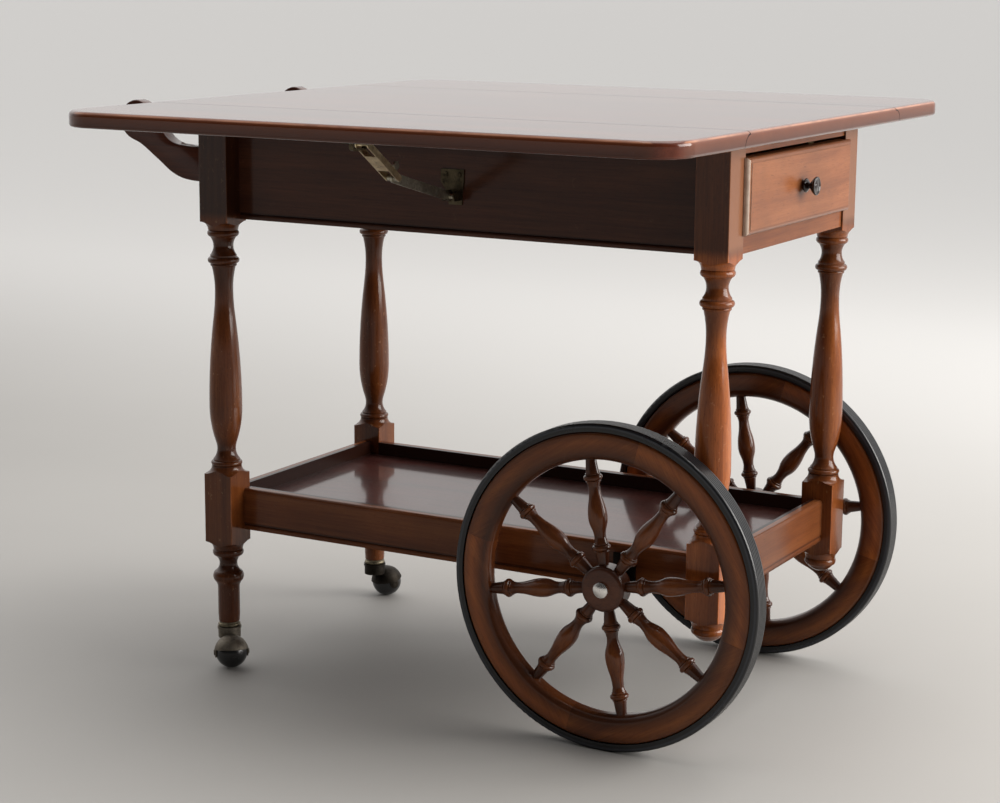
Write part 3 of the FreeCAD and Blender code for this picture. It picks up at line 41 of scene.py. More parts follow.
# Tea trolley, metres. Drawer and big wheels towards +X, near side towards -Y.
trolley = {
    "legX": 0.3545,
    "legY": 0.1852,
    "wheelX": 0.238,
    "wheelY": 0.228,
    "wheelZ": 0.2035,
    "wheelPhase": 8.65,
    "topZ": 0.762,
}


def addNode(tree, kind, **settings):
    made = tree.nodes.new(kind)
    for name, value in settings.items():
        setattr(made, name, value)
    return made


def plug(tree, socket, value):
    # a socket is wired, a number or a tuple is set
    if isinstance(value, bpy.types.NodeSocket):
        tree.links.new(value, socket)
    elif value is not None:
        socket.default_value = value


def calc(tree, operation, first, second=None, third=None, clamp=False):
    made = addNode(tree, "ShaderNodeMath", operation=operation, use_clamp=clamp)
    for socket, value in zip(made.inputs, (first, second, third)):
        plug(tree, socket, value)
    return made.outputs[0]


def vectorCalc(tree, operation, first, second=None):
    made = addNode(tree, "ShaderNodeVectorMath", operation=operation)
    plug(tree, made.inputs[0], first)
    if operation == "SCALE":
        plug(tree, made.inputs["Scale"], second)
    else:
        plug(tree, made.inputs[1], second)
    return made.outputs["Value" if operation in ("LENGTH", "DOT_PRODUCT") else "Vector"]


def span(tree, value, low, high, lowOut=0.0, highOut=1.0, smooth=True):
    made = addNode(tree, "ShaderNodeMapRange", interpolation_type="SMOOTHSTEP" if smooth else "LINEAR")
    for socket, number in zip(made.inputs, (value, low, high, lowOut, highOut)):
        plug(tree, socket, number)
    return made.outputs[0]


def mixColour(tree, factor, first, second, blend="MIX"):
    made = addNode(tree, "ShaderNodeMix", data_type="RGBA", blend_type=blend)
    plug(tree, made.inputs[0], factor)
    plug(tree, made.inputs[6], first)
    plug(tree, made.inputs[7], second)
    return made.outputs[2]


def mixValue(tree, factor, first, second):
    made = addNode(tree, "ShaderNodeMix", data_type="FLOAT")
    plug(tree, made.inputs[0], factor)
    plug(tree, made.inputs[2], first)
    plug(tree, made.inputs[3], second)
    return made.outputs[0]


def product(tree, *values):
    made = values[0]
    for value in values[1:]:
        made = calc(tree, "MULTIPLY", made, value)
    return made


def away(tree, value, centre):
    # distance of a value from a centre
    return calc(tree, "ABSOLUTE", calc(tree, "SUBTRACT", value, centre))


def band(tree, value, centre, half, fade, strength):
    # full strength within half of the centre, and nothing beyond fade
    return span(tree, away(tree, value, centre), half, fade, strength, 0.0)


def noise(tree, vector, scale, detail=2.0, roughness=0.5, distortion=0.0):
    made = addNode(tree, "ShaderNodeTexNoise")
    plug(tree, made.inputs["Vector"], vector)
    plug(tree, made.inputs["Scale"], scale)
    plug(tree, made.inputs["Detail"], detail)
    plug(tree, made.inputs["Roughness"], roughness)
    plug(tree, made.inputs["Distortion"], distortion)
    return made.outputs[0]


def ramp(tree, factor, stops, interpolation="LINEAR"):
    # a stop is a place and a colour, or a place and one number for a grey
    made = addNode(tree, "ShaderNodeValToRGB")
    shades = made.color_ramp
    shades.interpolation = interpolation
    while len(shades.elements) < len(stops):
        shades.elements.new(0.5)
    for element, (place, colour) in zip(shades.elements, stops):
        element.position = place
        element.color = (*colour, 1) if isinstance(colour, tuple) else (colour, colour, colour, 1)
    plug(tree, made.inputs[0], factor)
    return made.outputs[0]


def stretch(tree, vector, scale, rotation=(0, 0, 0), location=(0, 0, 0)):
    made = addNode(tree, "ShaderNodeMapping")
    plug(tree, made.inputs["Vector"], vector)
    made.inputs["Scale"].default_value = scale
    made.inputs["Rotation"].default_value = rotation
    made.inputs["Location"].default_value = location
    return made.outputs[0]


def splitVector(tree, vector):
    made = addNode(tree, "ShaderNodeSeparateXYZ")
    plug(tree, made.inputs[0], vector)
    return made.outputs


def joinVector(tree, x, y, z):
    made = addNode(tree, "ShaderNodeCombineXYZ")
    for socket, value in zip(made.inputs, (x, y, z)):
        plug(tree, socket, value)
    return made.outputs[0]


def bump(tree, height, strength, distance, under=None):
    made = addNode(tree, "ShaderNodeBump")
    made.inputs["Strength"].default_value = strength
    made.inputs["Distance"].default_value = distance
    plug(tree, made.inputs["Height"], height)
    plug(tree, made.inputs["Normal"], under)
    return made.outputs[0]


def principled(tree, name, colour, roughness, normal=None):
    # ends a material; what is the same all over its surface is then set on the sockets that come back
    shader = addNode(tree, "ShaderNodeBsdfPrincipled", label=name)
    plug(tree, shader.inputs["Base Color"], colour)
    plug(tree, shader.inputs["Roughness"], roughness)
    plug(tree, shader.inputs["Normal"], normal)
    output = addNode(tree, "ShaderNodeOutputMaterial")
    plug(tree, output.inputs["Surface"], shader.outputs[0])
    return shader.inputs


def startGroup(name, inputs, outputs):
    # inputs are (name, kind, start value), outputs are (name, kind)
    tree = bpy.data.node_groups.new(name, "ShaderNodeTree")
    for label, kind, value in inputs:
        socket = tree.interface.new_socket(label, in_out="INPUT", socket_type="NodeSocket" + kind)
        if value is not None:
            socket.default_value = value
    for label, kind in outputs:
        tree.interface.new_socket(label, in_out="OUTPUT", socket_type="NodeSocket" + kind)
    return tree, addNode(tree, "NodeGroupInput").outputs, addNode(tree, "NodeGroupOutput").inputs


def useGroup(tree, group, **values):
    made = addNode(tree, "ShaderNodeGroup", node_tree=group)
    for label, value in values.items():
        plug(tree, made.inputs[label], value)
    return made.outputs


def grainGroup():
    # wood grain that runs along X: long streaks, fine fibres, and pores that the finish never quite fills
    tree, given, out = startGroup(
        "woodGrain",
        [("Vector", "Vector", None), ("Wander", "Float", 0.02), ("Figure", "Float", 0.5)],
        [("Streak", "Float"), ("Pores", "Float"), ("Ribbon", "Float")],
    )
    slow = noise(tree, stretch(tree, given["Vector"], (1.6, 7, 7)), 1.0, 2.0)
    drift = calc(tree, "MULTIPLY", calc(tree, "SUBTRACT", slow, 0.5), given["Wander"])
    vector = vectorCalc(tree, "ADD", given["Vector"], joinVector(tree, 0.0, drift, drift))
    broad = noise(tree, stretch(tree, vector, (2.2, 62, 62)), 1.0, 4.0, 0.6)
    fibre = noise(tree, stretch(tree, vector, (16, 520, 520)), 1.0, 3.0, 0.6)
    ribbon = noise(tree, stretch(tree, vector, (1.1, 17, 17)), 1.0, 3.0, 0.55, 0.6)
    pore = noise(tree, stretch(tree, vector, (95, 1500, 1500)), 1.0, 1.0)
    streak = calc(tree, "ADD", calc(tree, "MULTIPLY", broad, 0.62), calc(tree, "MULTIPLY", fibre, 0.38))
    figure = mixValue(tree, given["Figure"], streak, ribbon)
    plug(tree, out["Streak"], span(tree, figure, 0.32, 0.68))
    plug(tree, out["Pores"], span(tree, pore, 0.62, 0.74))
    plug(tree, out["Ribbon"], span(tree, ribbon, 0.35, 0.65))
    return tree


def handlingGroup():
    # the film on a used surface: cloudy polish, small scuffs and a little dust on what faces up
    tree, given, out = startGroup(
        "handling",
        [("Vector", "Vector", None), ("Base", "Float", 0.3), ("Cloud", "Float", 0.08),
         ("Scuff", "Float", 0.1), ("Dust", "Float", 0.1)],
        [("Roughness", "Float"), ("Scuffs", "Float"), ("Dust", "Float")],
    )
    cloud = noise(tree, given["Vector"], 9.0, 4.0, 0.6)
    mark = noise(tree, stretch(tree, given["Vector"], (70, 30, 45), (0.3, 0.5, 0.7)), 1.0, 4.0, 0.7, 1.5)
    scuffs = calc(tree, "MULTIPLY", span(tree, mark, 0.64, 0.76), given["Scuff"])
    facing = splitVector(tree, addNode(tree, "ShaderNodeNewGeometry").outputs["Normal"])["Z"]
    speck = noise(tree, given["Vector"], 310.0, 2.0)
    powder = calc(tree, "MULTIPLY", span(tree, speck, 0.42, 0.75), span(tree, facing, 0.1, 0.95))
    dust = calc(tree, "MULTIPLY", powder, given["Dust"])
    rough = calc(tree, "MULTIPLY_ADD", calc(tree, "SUBTRACT", cloud, 0.5), given["Cloud"], given["Base"])
    rough = calc(tree, "ADD", rough, calc(tree, "ADD", scuffs, dust), clamp=True)
    plug(tree, out["Roughness"], rough)
    plug(tree, out["Scuffs"], scuffs)
    plug(tree, out["Dust"], dust)
    return tree


def wheelGroup():
    # places on a wheel: distance from its axis, angle round it, and the nearest spoke and felloe
    tree, given, out = startGroup(
        "wheelPlaces",
        [("Vector", "Vector", None), ("Centre", "Vector", None), ("Phase", "Float", 0.0)],
        [("Radius", "Float"), ("Across", "Float"), ("Spoke", "Vector"), ("Felloe", "Vector"),
         ("Number", "Float")],
    )
    x, y, z = splitVector(tree, vectorCalc(tree, "SUBTRACT", given["Vector"], given["Centre"]))
    radius = calc(tree, "SQRT", calc(tree, "ADD", calc(tree, "MULTIPLY", x, x), calc(tree, "MULTIPLY", z, z)))
    angle = calc(tree, "SUBTRACT", calc(tree, "ARCTAN2", z, x), given["Phase"])
    eighth = calc(tree, "PINGPONG", angle, math.pi / 8)
    offAxis = calc(tree, "MULTIPLY", radius, calc(tree, "SINE", eighth))
    along = calc(tree, "MULTIPLY", radius, calc(tree, "COSINE", eighth))
    turns = calc(tree, "DIVIDE", calc(tree, "ADD", angle, math.pi / 8), math.pi / 2)
    number = calc(tree, "FLOORED_MODULO", calc(tree, "FLOOR", turns), 4.0)
    rest = calc(tree, "MULTIPLY", calc(tree, "SUBTRACT", calc(tree, "FRACT", turns), 0.5), math.pi / 2)
    chord = calc(tree, "MULTIPLY", radius, calc(tree, "SINE", rest))
    height = calc(tree, "MULTIPLY", radius, calc(tree, "COSINE", rest))
    plug(tree, out["Radius"], radius)
    plug(tree, out["Across"], y)
    plug(tree, out["Spoke"], joinVector(tree, along, offAxis, y))
    # the grain of each felloe begins somewhere else
    shift = calc(tree, "MULTIPLY", number, 0.37)
    plug(tree, out["Felloe"], joinVector(tree, calc(tree, "ADD", chord, shift), height, y))
    plug(tree, out["Number"], number)
    return tree


grain = grainGroup()
handling = handlingGroup()
wheelPlaces = wheelGroup()
print("shared effects built")


# grain direction is turned onto X by the rotation; tones are (dark, middle, light)
woods = {
    "topBoards": dict(
        turn=(0, 0, 0), tones=((0.062, 0.0135, 0.0070), (0.110, 0.0250, 0.0110), (0.170, 0.0420, 0.0170)),
        wander=0.05, figure=0.62, rough=0.30, coat=1.0, coatRough=0.03, pores=0.35, bump=0.05, dust=0.02,
        # the second edge tone is a painted highlight on the top arris
        edgeTone=(0.150, 0.0400, 0.0130), paintedHighlightTone=(0.400, 0.1600, 0.0800),
    ),
    "railsLong": dict(
        # these dark tones dress only the long aprons and are painted shade under the leaves
        turn=(0, 0, 0), tones=((0.030, 0.0100, 0.0060), (0.055, 0.0180, 0.0090), (0.085, 0.0280, 0.0130)),
        wander=0.02, figure=0.4, rough=0.42, coat=0.55, coatRough=0.16, pores=0.4, bump=0.10, dust=0.03,
    ),
    "railsCross": dict(
        turn=(0, 0, math.radians(90)),
        tones=((0.105, 0.0290, 0.0090), (0.170, 0.0500, 0.0150), (0.240, 0.0780, 0.0230)),
        wander=0.02, figure=0.4, rough=0.42, coat=0.6, coatRough=0.16, pores=0.4, bump=0.10, dust=0.03,
    ),
    "drawerFace": dict(
        turn=(0, 0, math.radians(90)),
        tones=((0.150, 0.0460, 0.0160), (0.215, 0.0700, 0.0240), (0.275, 0.0980, 0.0360)),
        wander=0.03, figure=0.5, rough=0.40, coat=0.8, coatRough=0.22, pores=0.5, bump=0.12, dust=0.03,
        # for the drawer front the edge tone is a painted highlight on the moulding
        edgeTone=(0.900, 0.740, 0.600),
    ),
    "trayBoard": dict(
        turn=(0, 0, 0), tones=((0.034, 0.0065, 0.0055), (0.058, 0.0110, 0.0082), (0.085, 0.0170, 0.0115)),
        wander=0.04, figure=0.5, rough=0.34, coat=0.85, coatRough=0.09, pores=0.25, bump=0.05, dust=0.10,
    ),
    "handleArms": dict(
        turn=(0, 0, 0), tones=((0.034, 0.0085, 0.0045), (0.066, 0.0165, 0.0075), (0.105, 0.0280, 0.0110)),
        wander=0.02, figure=0.3, rough=0.36, coat=0.8, coatRough=0.10, pores=0.3, bump=0.08, dust=0.03,
    ),
    "handleBar": dict(
        turn=(0, 0, math.radians(90)),
        tones=((0.095, 0.0270, 0.0100), (0.160, 0.0480, 0.0160), (0.230, 0.0750, 0.0240)),
        wander=0.02, figure=0.3, rough=0.30, coat=0.9, coatRough=0.08, pores=0.3, bump=0.06, dust=0.02,
    ),
    "pine": dict(
        turn=(0, 0, 0), tones=((0.36, 0.225, 0.115), (0.47, 0.315, 0.170), (0.56, 0.400, 0.235)),
        wander=0.03, figure=0.5, rough=0.55, coat=0.0, coatRough=0.2, pores=0.15, bump=0.15, dust=0.05,
    ),
    "knob": dict(
        turn=(0, 0, 0), tones=((0.006, 0.0032, 0.0028), (0.012, 0.0058, 0.0045), (0.024, 0.0105, 0.0075)),
        wander=0.01, figure=0.2, rough=0.22, coat=1.0, coatRough=0.05, pores=0.3, bump=0.06, dust=0.02,
    ),
}


lacquer = {
    "poreShare": 0.3,  # pores and toner are shares of the dark tone
    "tonerShare": (0.28, 0.30, 0.42),
    "scuffTone": (0.30, 0.17, 0.10),
    "dustTone": (0.46, 0.43, 0.39),
    "cloud": 0.10, "scuff": 0.12, "patchLow": 0.82, "patchHigh": 1.14,
    "streakHeight": 0.25, "poreHeight": -0.6, "waveHeight": 0.9, "relief": 0.0006,
    "specular": 0.05, "coatIor": 1.4,
}


def finishWood(name, tree, vector, coordinate, tones, settings, tonerAndPaintedShade=None, shade=None, swell=None,
               wornAndPaintedLight=()):
    # colour, film and bump of one stained and lacquered wood; toner darkens with stain and with painted
    # shade, shade is a factor on the colour that carries painted light and shade, swell is a slow height in
    # metres that rounds a face, worn holds a mask and a tone for each rubbed place and each painted highlight
    # or painted light
    fibres = useGroup(tree, grain, Vector=vector, Wander=settings["wander"], Figure=settings["figure"])
    film = useGroup(tree, handling, Vector=coordinate, Base=settings["rough"], Cloud=lacquer["cloud"],
                    Scuff=lacquer["scuff"], Dust=settings["dust"])
    dark, middle, light = tones
    colour = ramp(tree, fibres["Streak"], [(0.0, dark), (0.5, middle), (1.0, light)])
    pore = calc(tree, "MULTIPLY", fibres["Pores"], settings["pores"])
    colour = mixColour(tree, pore, colour, (*(channel * lacquer["poreShare"] for channel in dark), 1))
    patch = noise(tree, coordinate, 5.5, 3.0, 0.55)
    patch = span(tree, patch, 0.3, 0.7, lacquer["patchLow"], lacquer["patchHigh"])
    colour = vectorCalc(tree, "SCALE", colour, patch)
    if shade is not None:
        colour = vectorCalc(tree, "SCALE", colour, shade)
    for mask, tone in wornAndPaintedLight:
        colour = mixColour(tree, mask, colour, (*tone, 1))
    if tonerAndPaintedShade is not None:
        stain = (channel * share for channel, share in zip(dark, lacquer["tonerShare"]))
        colour = mixColour(tree, tonerAndPaintedShade, colour, (*stain, 1))
    colour = mixColour(tree, film["Scuffs"], colour, (*lacquer["scuffTone"], 1))
    colour = mixColour(tree, film["Dust"], colour, (*lacquer["dustTone"], 1))
    wave = noise(tree, coordinate, 14.0, 2.0)
    height = calc(tree, "ADD", calc(tree, "MULTIPLY", fibres["Streak"], lacquer["streakHeight"]),
                  calc(tree, "MULTIPLY", fibres["Pores"], lacquer["poreHeight"]))
    height = calc(tree, "MULTIPLY_ADD", wave, lacquer["waveHeight"], height)
    rounding = None if swell is None else bump(tree, swell, 1.0, 1.0)
    normal = bump(tree, height, settings["bump"], lacquer["relief"], rounding)
    sockets = principled(tree, name, colour, film["Roughness"], normal)
    sockets["Specular IOR Level"].default_value = lacquer["specular"]
    sockets["Coat Weight"].default_value = settings["coat"]
    sockets["Coat Roughness"].default_value = settings["coatRough"]
    sockets["Coat IOR"].default_value = lacquer["coatIor"]


def startMaterial(name):
    material = bpy.data.materials.new(name)
    material.use_nodes = True
    material.node_tree.nodes.clear()
    tree = material.node_tree
    return material, tree, addNode(tree, "ShaderNodeTexCoord").outputs["Object"]


def boardWood(name, settings, tonerAndPaintedShade=None, wearAndPaintedLight=None):
    material, tree, coordinate = startMaterial(name)
    vector = stretch(tree, coordinate, (1, 1, 1), settings["turn"])
    mask = tonerAndPaintedShade(tree, coordinate) if tonerAndPaintedShade else None
    wornAndPaintedLight = wearAndPaintedLight(tree, coordinate, settings) if wearAndPaintedLight else ()
    finishWood(name, tree, vector, coordinate, settings["tones"], settings, mask, wornAndPaintedLight=wornAndPaintedLight)
    return material


legs = {
    "tones": ((0.095, 0.0240, 0.0062), (0.165, 0.0450, 0.0105), (0.250, 0.0770, 0.0180)),
    "wander": 0.012, "figure": 0.35, "rough": 0.38, "coat": 0.8, "coatRough": 0.13, "pores": 0.6,
    "bump": 0.10, "dust": 0.03,
    "grainStep": (3.1, 1.7),  # moves the grain from leg to leg, so that no two are alike
    "hollow": (0.0125, 0.0215),  # radius of the coves and of the full turning
    "arris": (0.0196, 0.0216),
    # painted light: how much lighter or darker each leg is painted, the near leg beside the drawer lightest
    "handleEndPaintedLight": 0.86, "nearPaintedLight": 2.1, "farPaintedLight": 1.2,
    # the squares' factor is painted shade over the upper squares
    "square": (0.795, 0.815), "squarePaintedShade": 0.28,  # heights here and below are shares of the top's height
    # painted light on the outer faces of the squares beside the drawer; fade is its strength
    "paintedLightHeight": (0.80, 0.82), "fade": 0.7, "paintedLightTone": (0.30, 0.125, 0.060),
    "flecks": 0.34, "fleckTone": (0.46, 0.23, 0.11),
    "worked": (  # height and depth of stain
        (0.070, 0.05), (0.150, 0.25), (0.180, 0.72), (0.222, 0.62), (0.232, 0.18), (0.345, 0.18),
        (0.362, 0.70), (0.398, 0.55), (0.425, 0.0), (0.560, 0.0), (0.655, 0.22), (0.690, 0.60),
        (0.765, 0.72), (0.785, 0.22),
    ),
}


def legWood():
    # the stain lies dark in the coves and round the beads and the arrises are rubbed; each leg is painted
    # lighter or darker as painted light, the upper squares carry painted shade, and the outer faces of the
    # squares beside the drawer carry painted light
    material, tree, coordinate = startMaterial("legWood")
    x, y, z = splitVector(tree, coordinate)
    leg = joinVector(tree, calc(tree, "SUBTRACT", calc(tree, "ABSOLUTE", x), trolley["legX"]),
                     calc(tree, "SUBTRACT", calc(tree, "ABSOLUTE", y), trolley["legY"]), 0.0)
    radius = vectorCalc(tree, "LENGTH", leg)
    stepX, stepY = legs["grainStep"]
    corner = calc(tree, "MULTIPLY", calc(tree, "SIGN", x), stepX)
    corner = calc(tree, "MULTIPLY_ADD", calc(tree, "SIGN", y), stepY, corner)
    vector = joinVector(tree, calc(tree, "ADD", z, corner), x, y)
    heights = calc(tree, "DIVIDE", z, trolley["topZ"])
    worked = ramp(tree, heights, legs["worked"])
    hollow = span(tree, radius, *legs["hollow"], 1.0, 0.62)
    tonerAndPaintedShade = calc(tree, "MULTIPLY", worked, hollow)
    across, along = splitVector(tree, vectorCalc(tree, "ABSOLUTE", leg))[:2]
    arris = span(tree, calc(tree, "MINIMUM", across, along), *legs["arris"])
    ragged = span(tree, noise(tree, coordinate, 46.0, 3.0, 0.6), 0.35, 0.62, 0.2, 1.0)
    rubbed = calc(tree, "MULTIPLY_ADD", calc(tree, "MULTIPLY", arris, ragged), 0.75, 1.0)
    # painted shade over the upper squares
    paintedSquareShade = span(tree, heights, *legs["square"], 1.0, legs["squarePaintedShade"])
    atWheels = calc(tree, "GREATER_THAN", x, 0.0)
    # painted light: the legs beside the drawer lighter, the near one most
    wheelEndPaintedLight = span(tree, y, -0.1, 0.1, legs["nearPaintedLight"], legs["farPaintedLight"])
    each = mixValue(tree, atWheels, legs["handleEndPaintedLight"], wheelEndPaintedLight)
    shade = product(tree, rubbed, paintedSquareShade, each)
    # painted light on the faces that look out along +X, on the squares beside the drawer
    outward = splitVector(tree, addNode(tree, "ShaderNodeNewGeometry").outputs["Normal"])["X"]
    outward = span(tree, outward, 0.55, 0.85, 0.0, legs["fade"])
    paintedLightMask = product(tree, span(tree, heights, *legs["paintedLightHeight"]), outward, atWheels)
    fleck = span(tree, noise(tree, stretch(tree, coordinate, (210, 210, 120)), 1.0, 3.0, 0.6), 0.640, 0.71)
    fleck = calc(tree, "MULTIPLY", fleck, calc(tree, "MULTIPLY", paintedSquareShade, legs["flecks"]))
    wornAndPaintedLight = [(paintedLightMask, legs["paintedLightTone"]), (fleck, legs["fleckTone"])]
    finishWood("legWood", tree, vector, coordinate, legs["tones"], legs, tonerAndPaintedShade, shade, wornAndPaintedLight=wornAndPaintedLight)
    return material


wheels = {
    "rimTones": ((0.125, 0.0320, 0.0080), (0.200, 0.0550, 0.0125), (0.280, 0.0850, 0.0190)),
    "spokeTones": ((0.055, 0.0135, 0.0055), (0.125, 0.0340, 0.0100), (0.230, 0.0690, 0.0165)),
    "hubTones": ((0.055, 0.0160, 0.0075), (0.090, 0.0270, 0.0110), (0.130, 0.0410, 0.0160)),
    # each felloe's own tone, also set to paint the light and shade that falls on it
    "felloeShades": (1.10, 0.74, 1.14, 0.74),  # upper right, upper left, lower left, lower right
    "wander": 0.02, "figure": 0.45, "rough": 0.36, "coat": 0.85, "coatRough": 0.12, "pores": 0.5,
    "bump": 0.10, "dust": 0.03,
    "crown": 0.1815, "crownReach": 0.014, "crownRise": 0.0034,  # radius of the rim's middle, its rounding
    # from, to, and the strength at either; painted shade towards the rim's edges, painted highlight along its
    # middle
    "rimPaintedShade": (0.0045, 0.0180, 0.0, 0.72), "rimPaintedHighlight": (0.0008, 0.0060, 1.28, 1.0),
    "hubStain": (0.0215, 0.0290, 0.0, 0.55), "hubTurn": 12,
    "spokeReach": 0.16,
    "spokeWorked": (  # share of the reach, and depth of stain
        (0.17, 0.85), (0.30, 0.45), (0.39, 0.75), (0.46, 0.30), (0.55, 0.0), (0.66, 0.12), (0.77, 0.55),
        (0.85, 0.35), (0.92, 0.85),
    ),
    "spokeStain": 0.8,
}


def wheelPlacesFor(tree, coordinate, hand):
    centre = (trolley["wheelX"], trolley["wheelY"] * hand, trolley["wheelZ"])
    return useGroup(tree, wheelPlaces, Vector=coordinate, Centre=centre,
                    Phase=math.radians(trolley["wheelPhase"]))


def rimWood(side, hand):
    # four felloes, each cut from its own board and so with its own tone, which is also set to paint light and
    # shade; the face is a little crowned, with painted shade towards its edges and a painted highlight along
    # its middle
    material, tree, coordinate = startMaterial("rimWood_" + side)
    places = wheelPlacesFor(tree, coordinate, hand)
    stops = [(number / 4, shade) for number, shade in enumerate(wheels["felloeShades"])]
    shade = ramp(tree, calc(tree, "DIVIDE", calc(tree, "ADD", places["Number"], 0.5), 4.0), stops, "CONSTANT")
    beside = away(tree, places["Radius"], wheels["crown"])
    # painted shade towards both edges of the face, painted highlight along its middle
    tonerAndPaintedShade = span(tree, beside, *wheels["rimPaintedShade"])
    shade = calc(tree, "MULTIPLY", shade, span(tree, beside, *wheels["rimPaintedHighlight"]))
    aside = calc(tree, "SUBTRACT", places["Radius"], wheels["crown"])
    aside = calc(tree, "DIVIDE", aside, wheels["crownReach"])
    swell = product(tree, aside, aside, -wheels["crownRise"])
    finishWood("rimWood", tree, places["Felloe"], coordinate, wheels["rimTones"], wheels, tonerAndPaintedShade, shade, swell)
    return material


def spokeWood(side, hand):
    # dark in the necks and round the beads, light on the bellies
    material, tree, coordinate = startMaterial("spokeWood_" + side)
    places = wheelPlacesFor(tree, coordinate, hand)
    worked = ramp(tree, calc(tree, "DIVIDE", places["Radius"], wheels["spokeReach"]), wheels["spokeWorked"])
    finishWood("spokeWood", tree, places["Spoke"], coordinate, wheels["spokeTones"], wheels,
               calc(tree, "MULTIPLY", worked, wheels["spokeStain"]))
    return material


def hubWood(side, hand):
    material, tree, coordinate = startMaterial("hubWood_" + side)
    places = wheelPlacesFor(tree, coordinate, hand)
    tonerAndPaintedShade = span(tree, places["Radius"], *wheels["hubStain"])
    vector = stretch(tree, coordinate, (1, 1, 1), (0, 0, math.radians(wheels["hubTurn"])))
    finishWood("hubWood", tree, vector, coordinate, wheels["hubTones"], wheels, tonerAndPaintedShade)
    return material


# pairs are (from, to); fours are (from, to, strength at from, strength at to)
joint = {"y": 0.242, "z": 0.7435, "radius": 0.0145, "line": 0.0006, "stain": 0.85}
board = {
    "shift": 0.0027, "x": (0.4112, 0.4177), "y": (0.4350, 0.4415), "rimColour": 0.8,
    # painted shade, darker down the moulded edges
    "rimPaintedShade": (0.7440, 0.7590, 0.62, 0.0),
}
# a painted highlight along the top arris of the top's edges
paintedArrisHighlight = {"centre": 0.7600, "half": 0.0004, "fade": 0.0014, "strength": 0.85}
# the second span is a painted shadow under the top
apron = {"bead": 0.6165, "paintedShadowUnderTop": (0.700, 0.742, 0.0, 0.35)}
tray = {
    "innerX": 0.352, "innerY": 0.1665, "insideDarkening": 0.95,
    "sideTone": (0.024, 0.0095, 0.0080), "endTone": (0.0105, 0.0036, 0.0032),
    # outer span is painted shade on the outside of the wheel end
    "quirk": 0.1965, "outerPaintedShade": (0.355, 0.362, 0.0, 0.38),
    "cornerX": (0.315, 0.347), "cornerY": (0.135, 0.1615), "edgeDarkening": 0.55,
}
quirkLine = {"half": 0.0008, "fade": 0.0030, "strength": 0.75}
drawer = {
    "knobZ": 0.678, "ring": (0.008, 0.030, 0.30, 0.0), "step": (0.3828, 0.3840, 0.35, 0.0),
    # arris places the drawer's painted highlight by how far the moulding turns
    "arris": (0.20, 0.55, 0.0, 0.92),
}


def apronTonerAndShadow(tree, coordinate):
    # polish and stain gather along the bead at the lower edge; a painted shadow darkens up under the top
    z = splitVector(tree, coordinate)["Z"]
    low = band(tree, z, apron["bead"], **quirkLine)
    return calc(tree, "MAXIMUM", low, span(tree, z, *apron["paintedShadowUnderTop"]))


def trayTonerAndShade(tree, coordinate):
    # dark polish in the quirk under the rails, and painted shade on the outside of the wheel end
    place = splitVector(tree, coordinate)
    quirk = band(tree, place["Z"], tray["quirk"], **quirkLine)
    return calc(tree, "MAXIMUM", quirk, span(tree, place["X"], *tray["outerPaintedShade"]))


def trayInside(tree, coordinate, settings):
    # the rails are darker on the sides that face the tray board
    x, y = splitVector(tree, vectorCalc(tree, "ABSOLUTE", coordinate))[:2]
    insideX = calc(tree, "LESS_THAN", x, tray["innerX"])
    insideY = calc(tree, "LESS_THAN", y, tray["innerY"])
    return [(product(tree, insideX, insideY, tray["insideDarkening"]), settings["insideTone"])]


def jointToner(tree, coordinate):
    # dark polish sits in the rule joints: a quarter round with a short upright line above it
    y, z = splitVector(tree, coordinate)[1:]
    line = joint["line"]
    out = calc(tree, "SUBTRACT", calc(tree, "ABSOLUTE", y), joint["y"])
    up = calc(tree, "SUBTRACT", z, joint["z"])
    radius = vectorCalc(tree, "LENGTH", joinVector(tree, 0.0, out, up))
    ring = band(tree, radius, joint["radius"] + line / 2, line, line * 2, 1.0)
    arc = product(tree, ring, calc(tree, "GREATER_THAN", out, 0.0), calc(tree, "GREATER_THAN", up, 0.0))
    upright = band(tree, out, line / 2, line, line * 2, 1.0)
    upright = calc(tree, "MULTIPLY", upright, calc(tree, "GREATER_THAN", up, joint["radius"]))
    return calc(tree, "MULTIPLY", calc(tree, "MAXIMUM", arc, upright), joint["stain"])


def boardRim(tree, x, y):
    # 1 on the moulded edges of the top, 0 on the flat
    endways = calc(tree, "ABSOLUTE", calc(tree, "ADD", x, board["shift"]))
    endways = span(tree, endways, *board["x"])
    sideways = span(tree, calc(tree, "ABSOLUTE", y), *board["y"])
    return calc(tree, "MAXIMUM", endways, sideways)


def topTonerAndShade(tree, coordinate):
    # the rule joints, and painted shade that darkens down the moulded edges
    x, y, z = splitVector(tree, coordinate)
    # painted shade, darker down the moulded edges
    low = span(tree, z, *board["rimPaintedShade"], smooth=False)
    low = calc(tree, "MULTIPLY", low, boardRim(tree, x, y))
    return calc(tree, "MAXIMUM", jointToner(tree, coordinate), low)


def boardEdges(tree, coordinate, settings):
    # the stain is browner and calmer on the moulded edges than on the flat, and a painted highlight runs
    # along their top arris
    x, y, z = splitVector(tree, coordinate)
    rim = boardRim(tree, x, y)
    # painted highlight line along the top arris
    line = band(tree, z, **paintedArrisHighlight)
    ragged = span(tree, noise(tree, coordinate, 30.0, 3.0, 0.6), 0.30, 0.65, 0.35, 1.0)
    line = product(tree, line, ragged, span(tree, rim, 0.05, 0.30))
    edge = calc(tree, "MULTIPLY", rim, board["rimColour"])
    return [(edge, settings["edgeTone"]), (line, settings["paintedHighlightTone"])]


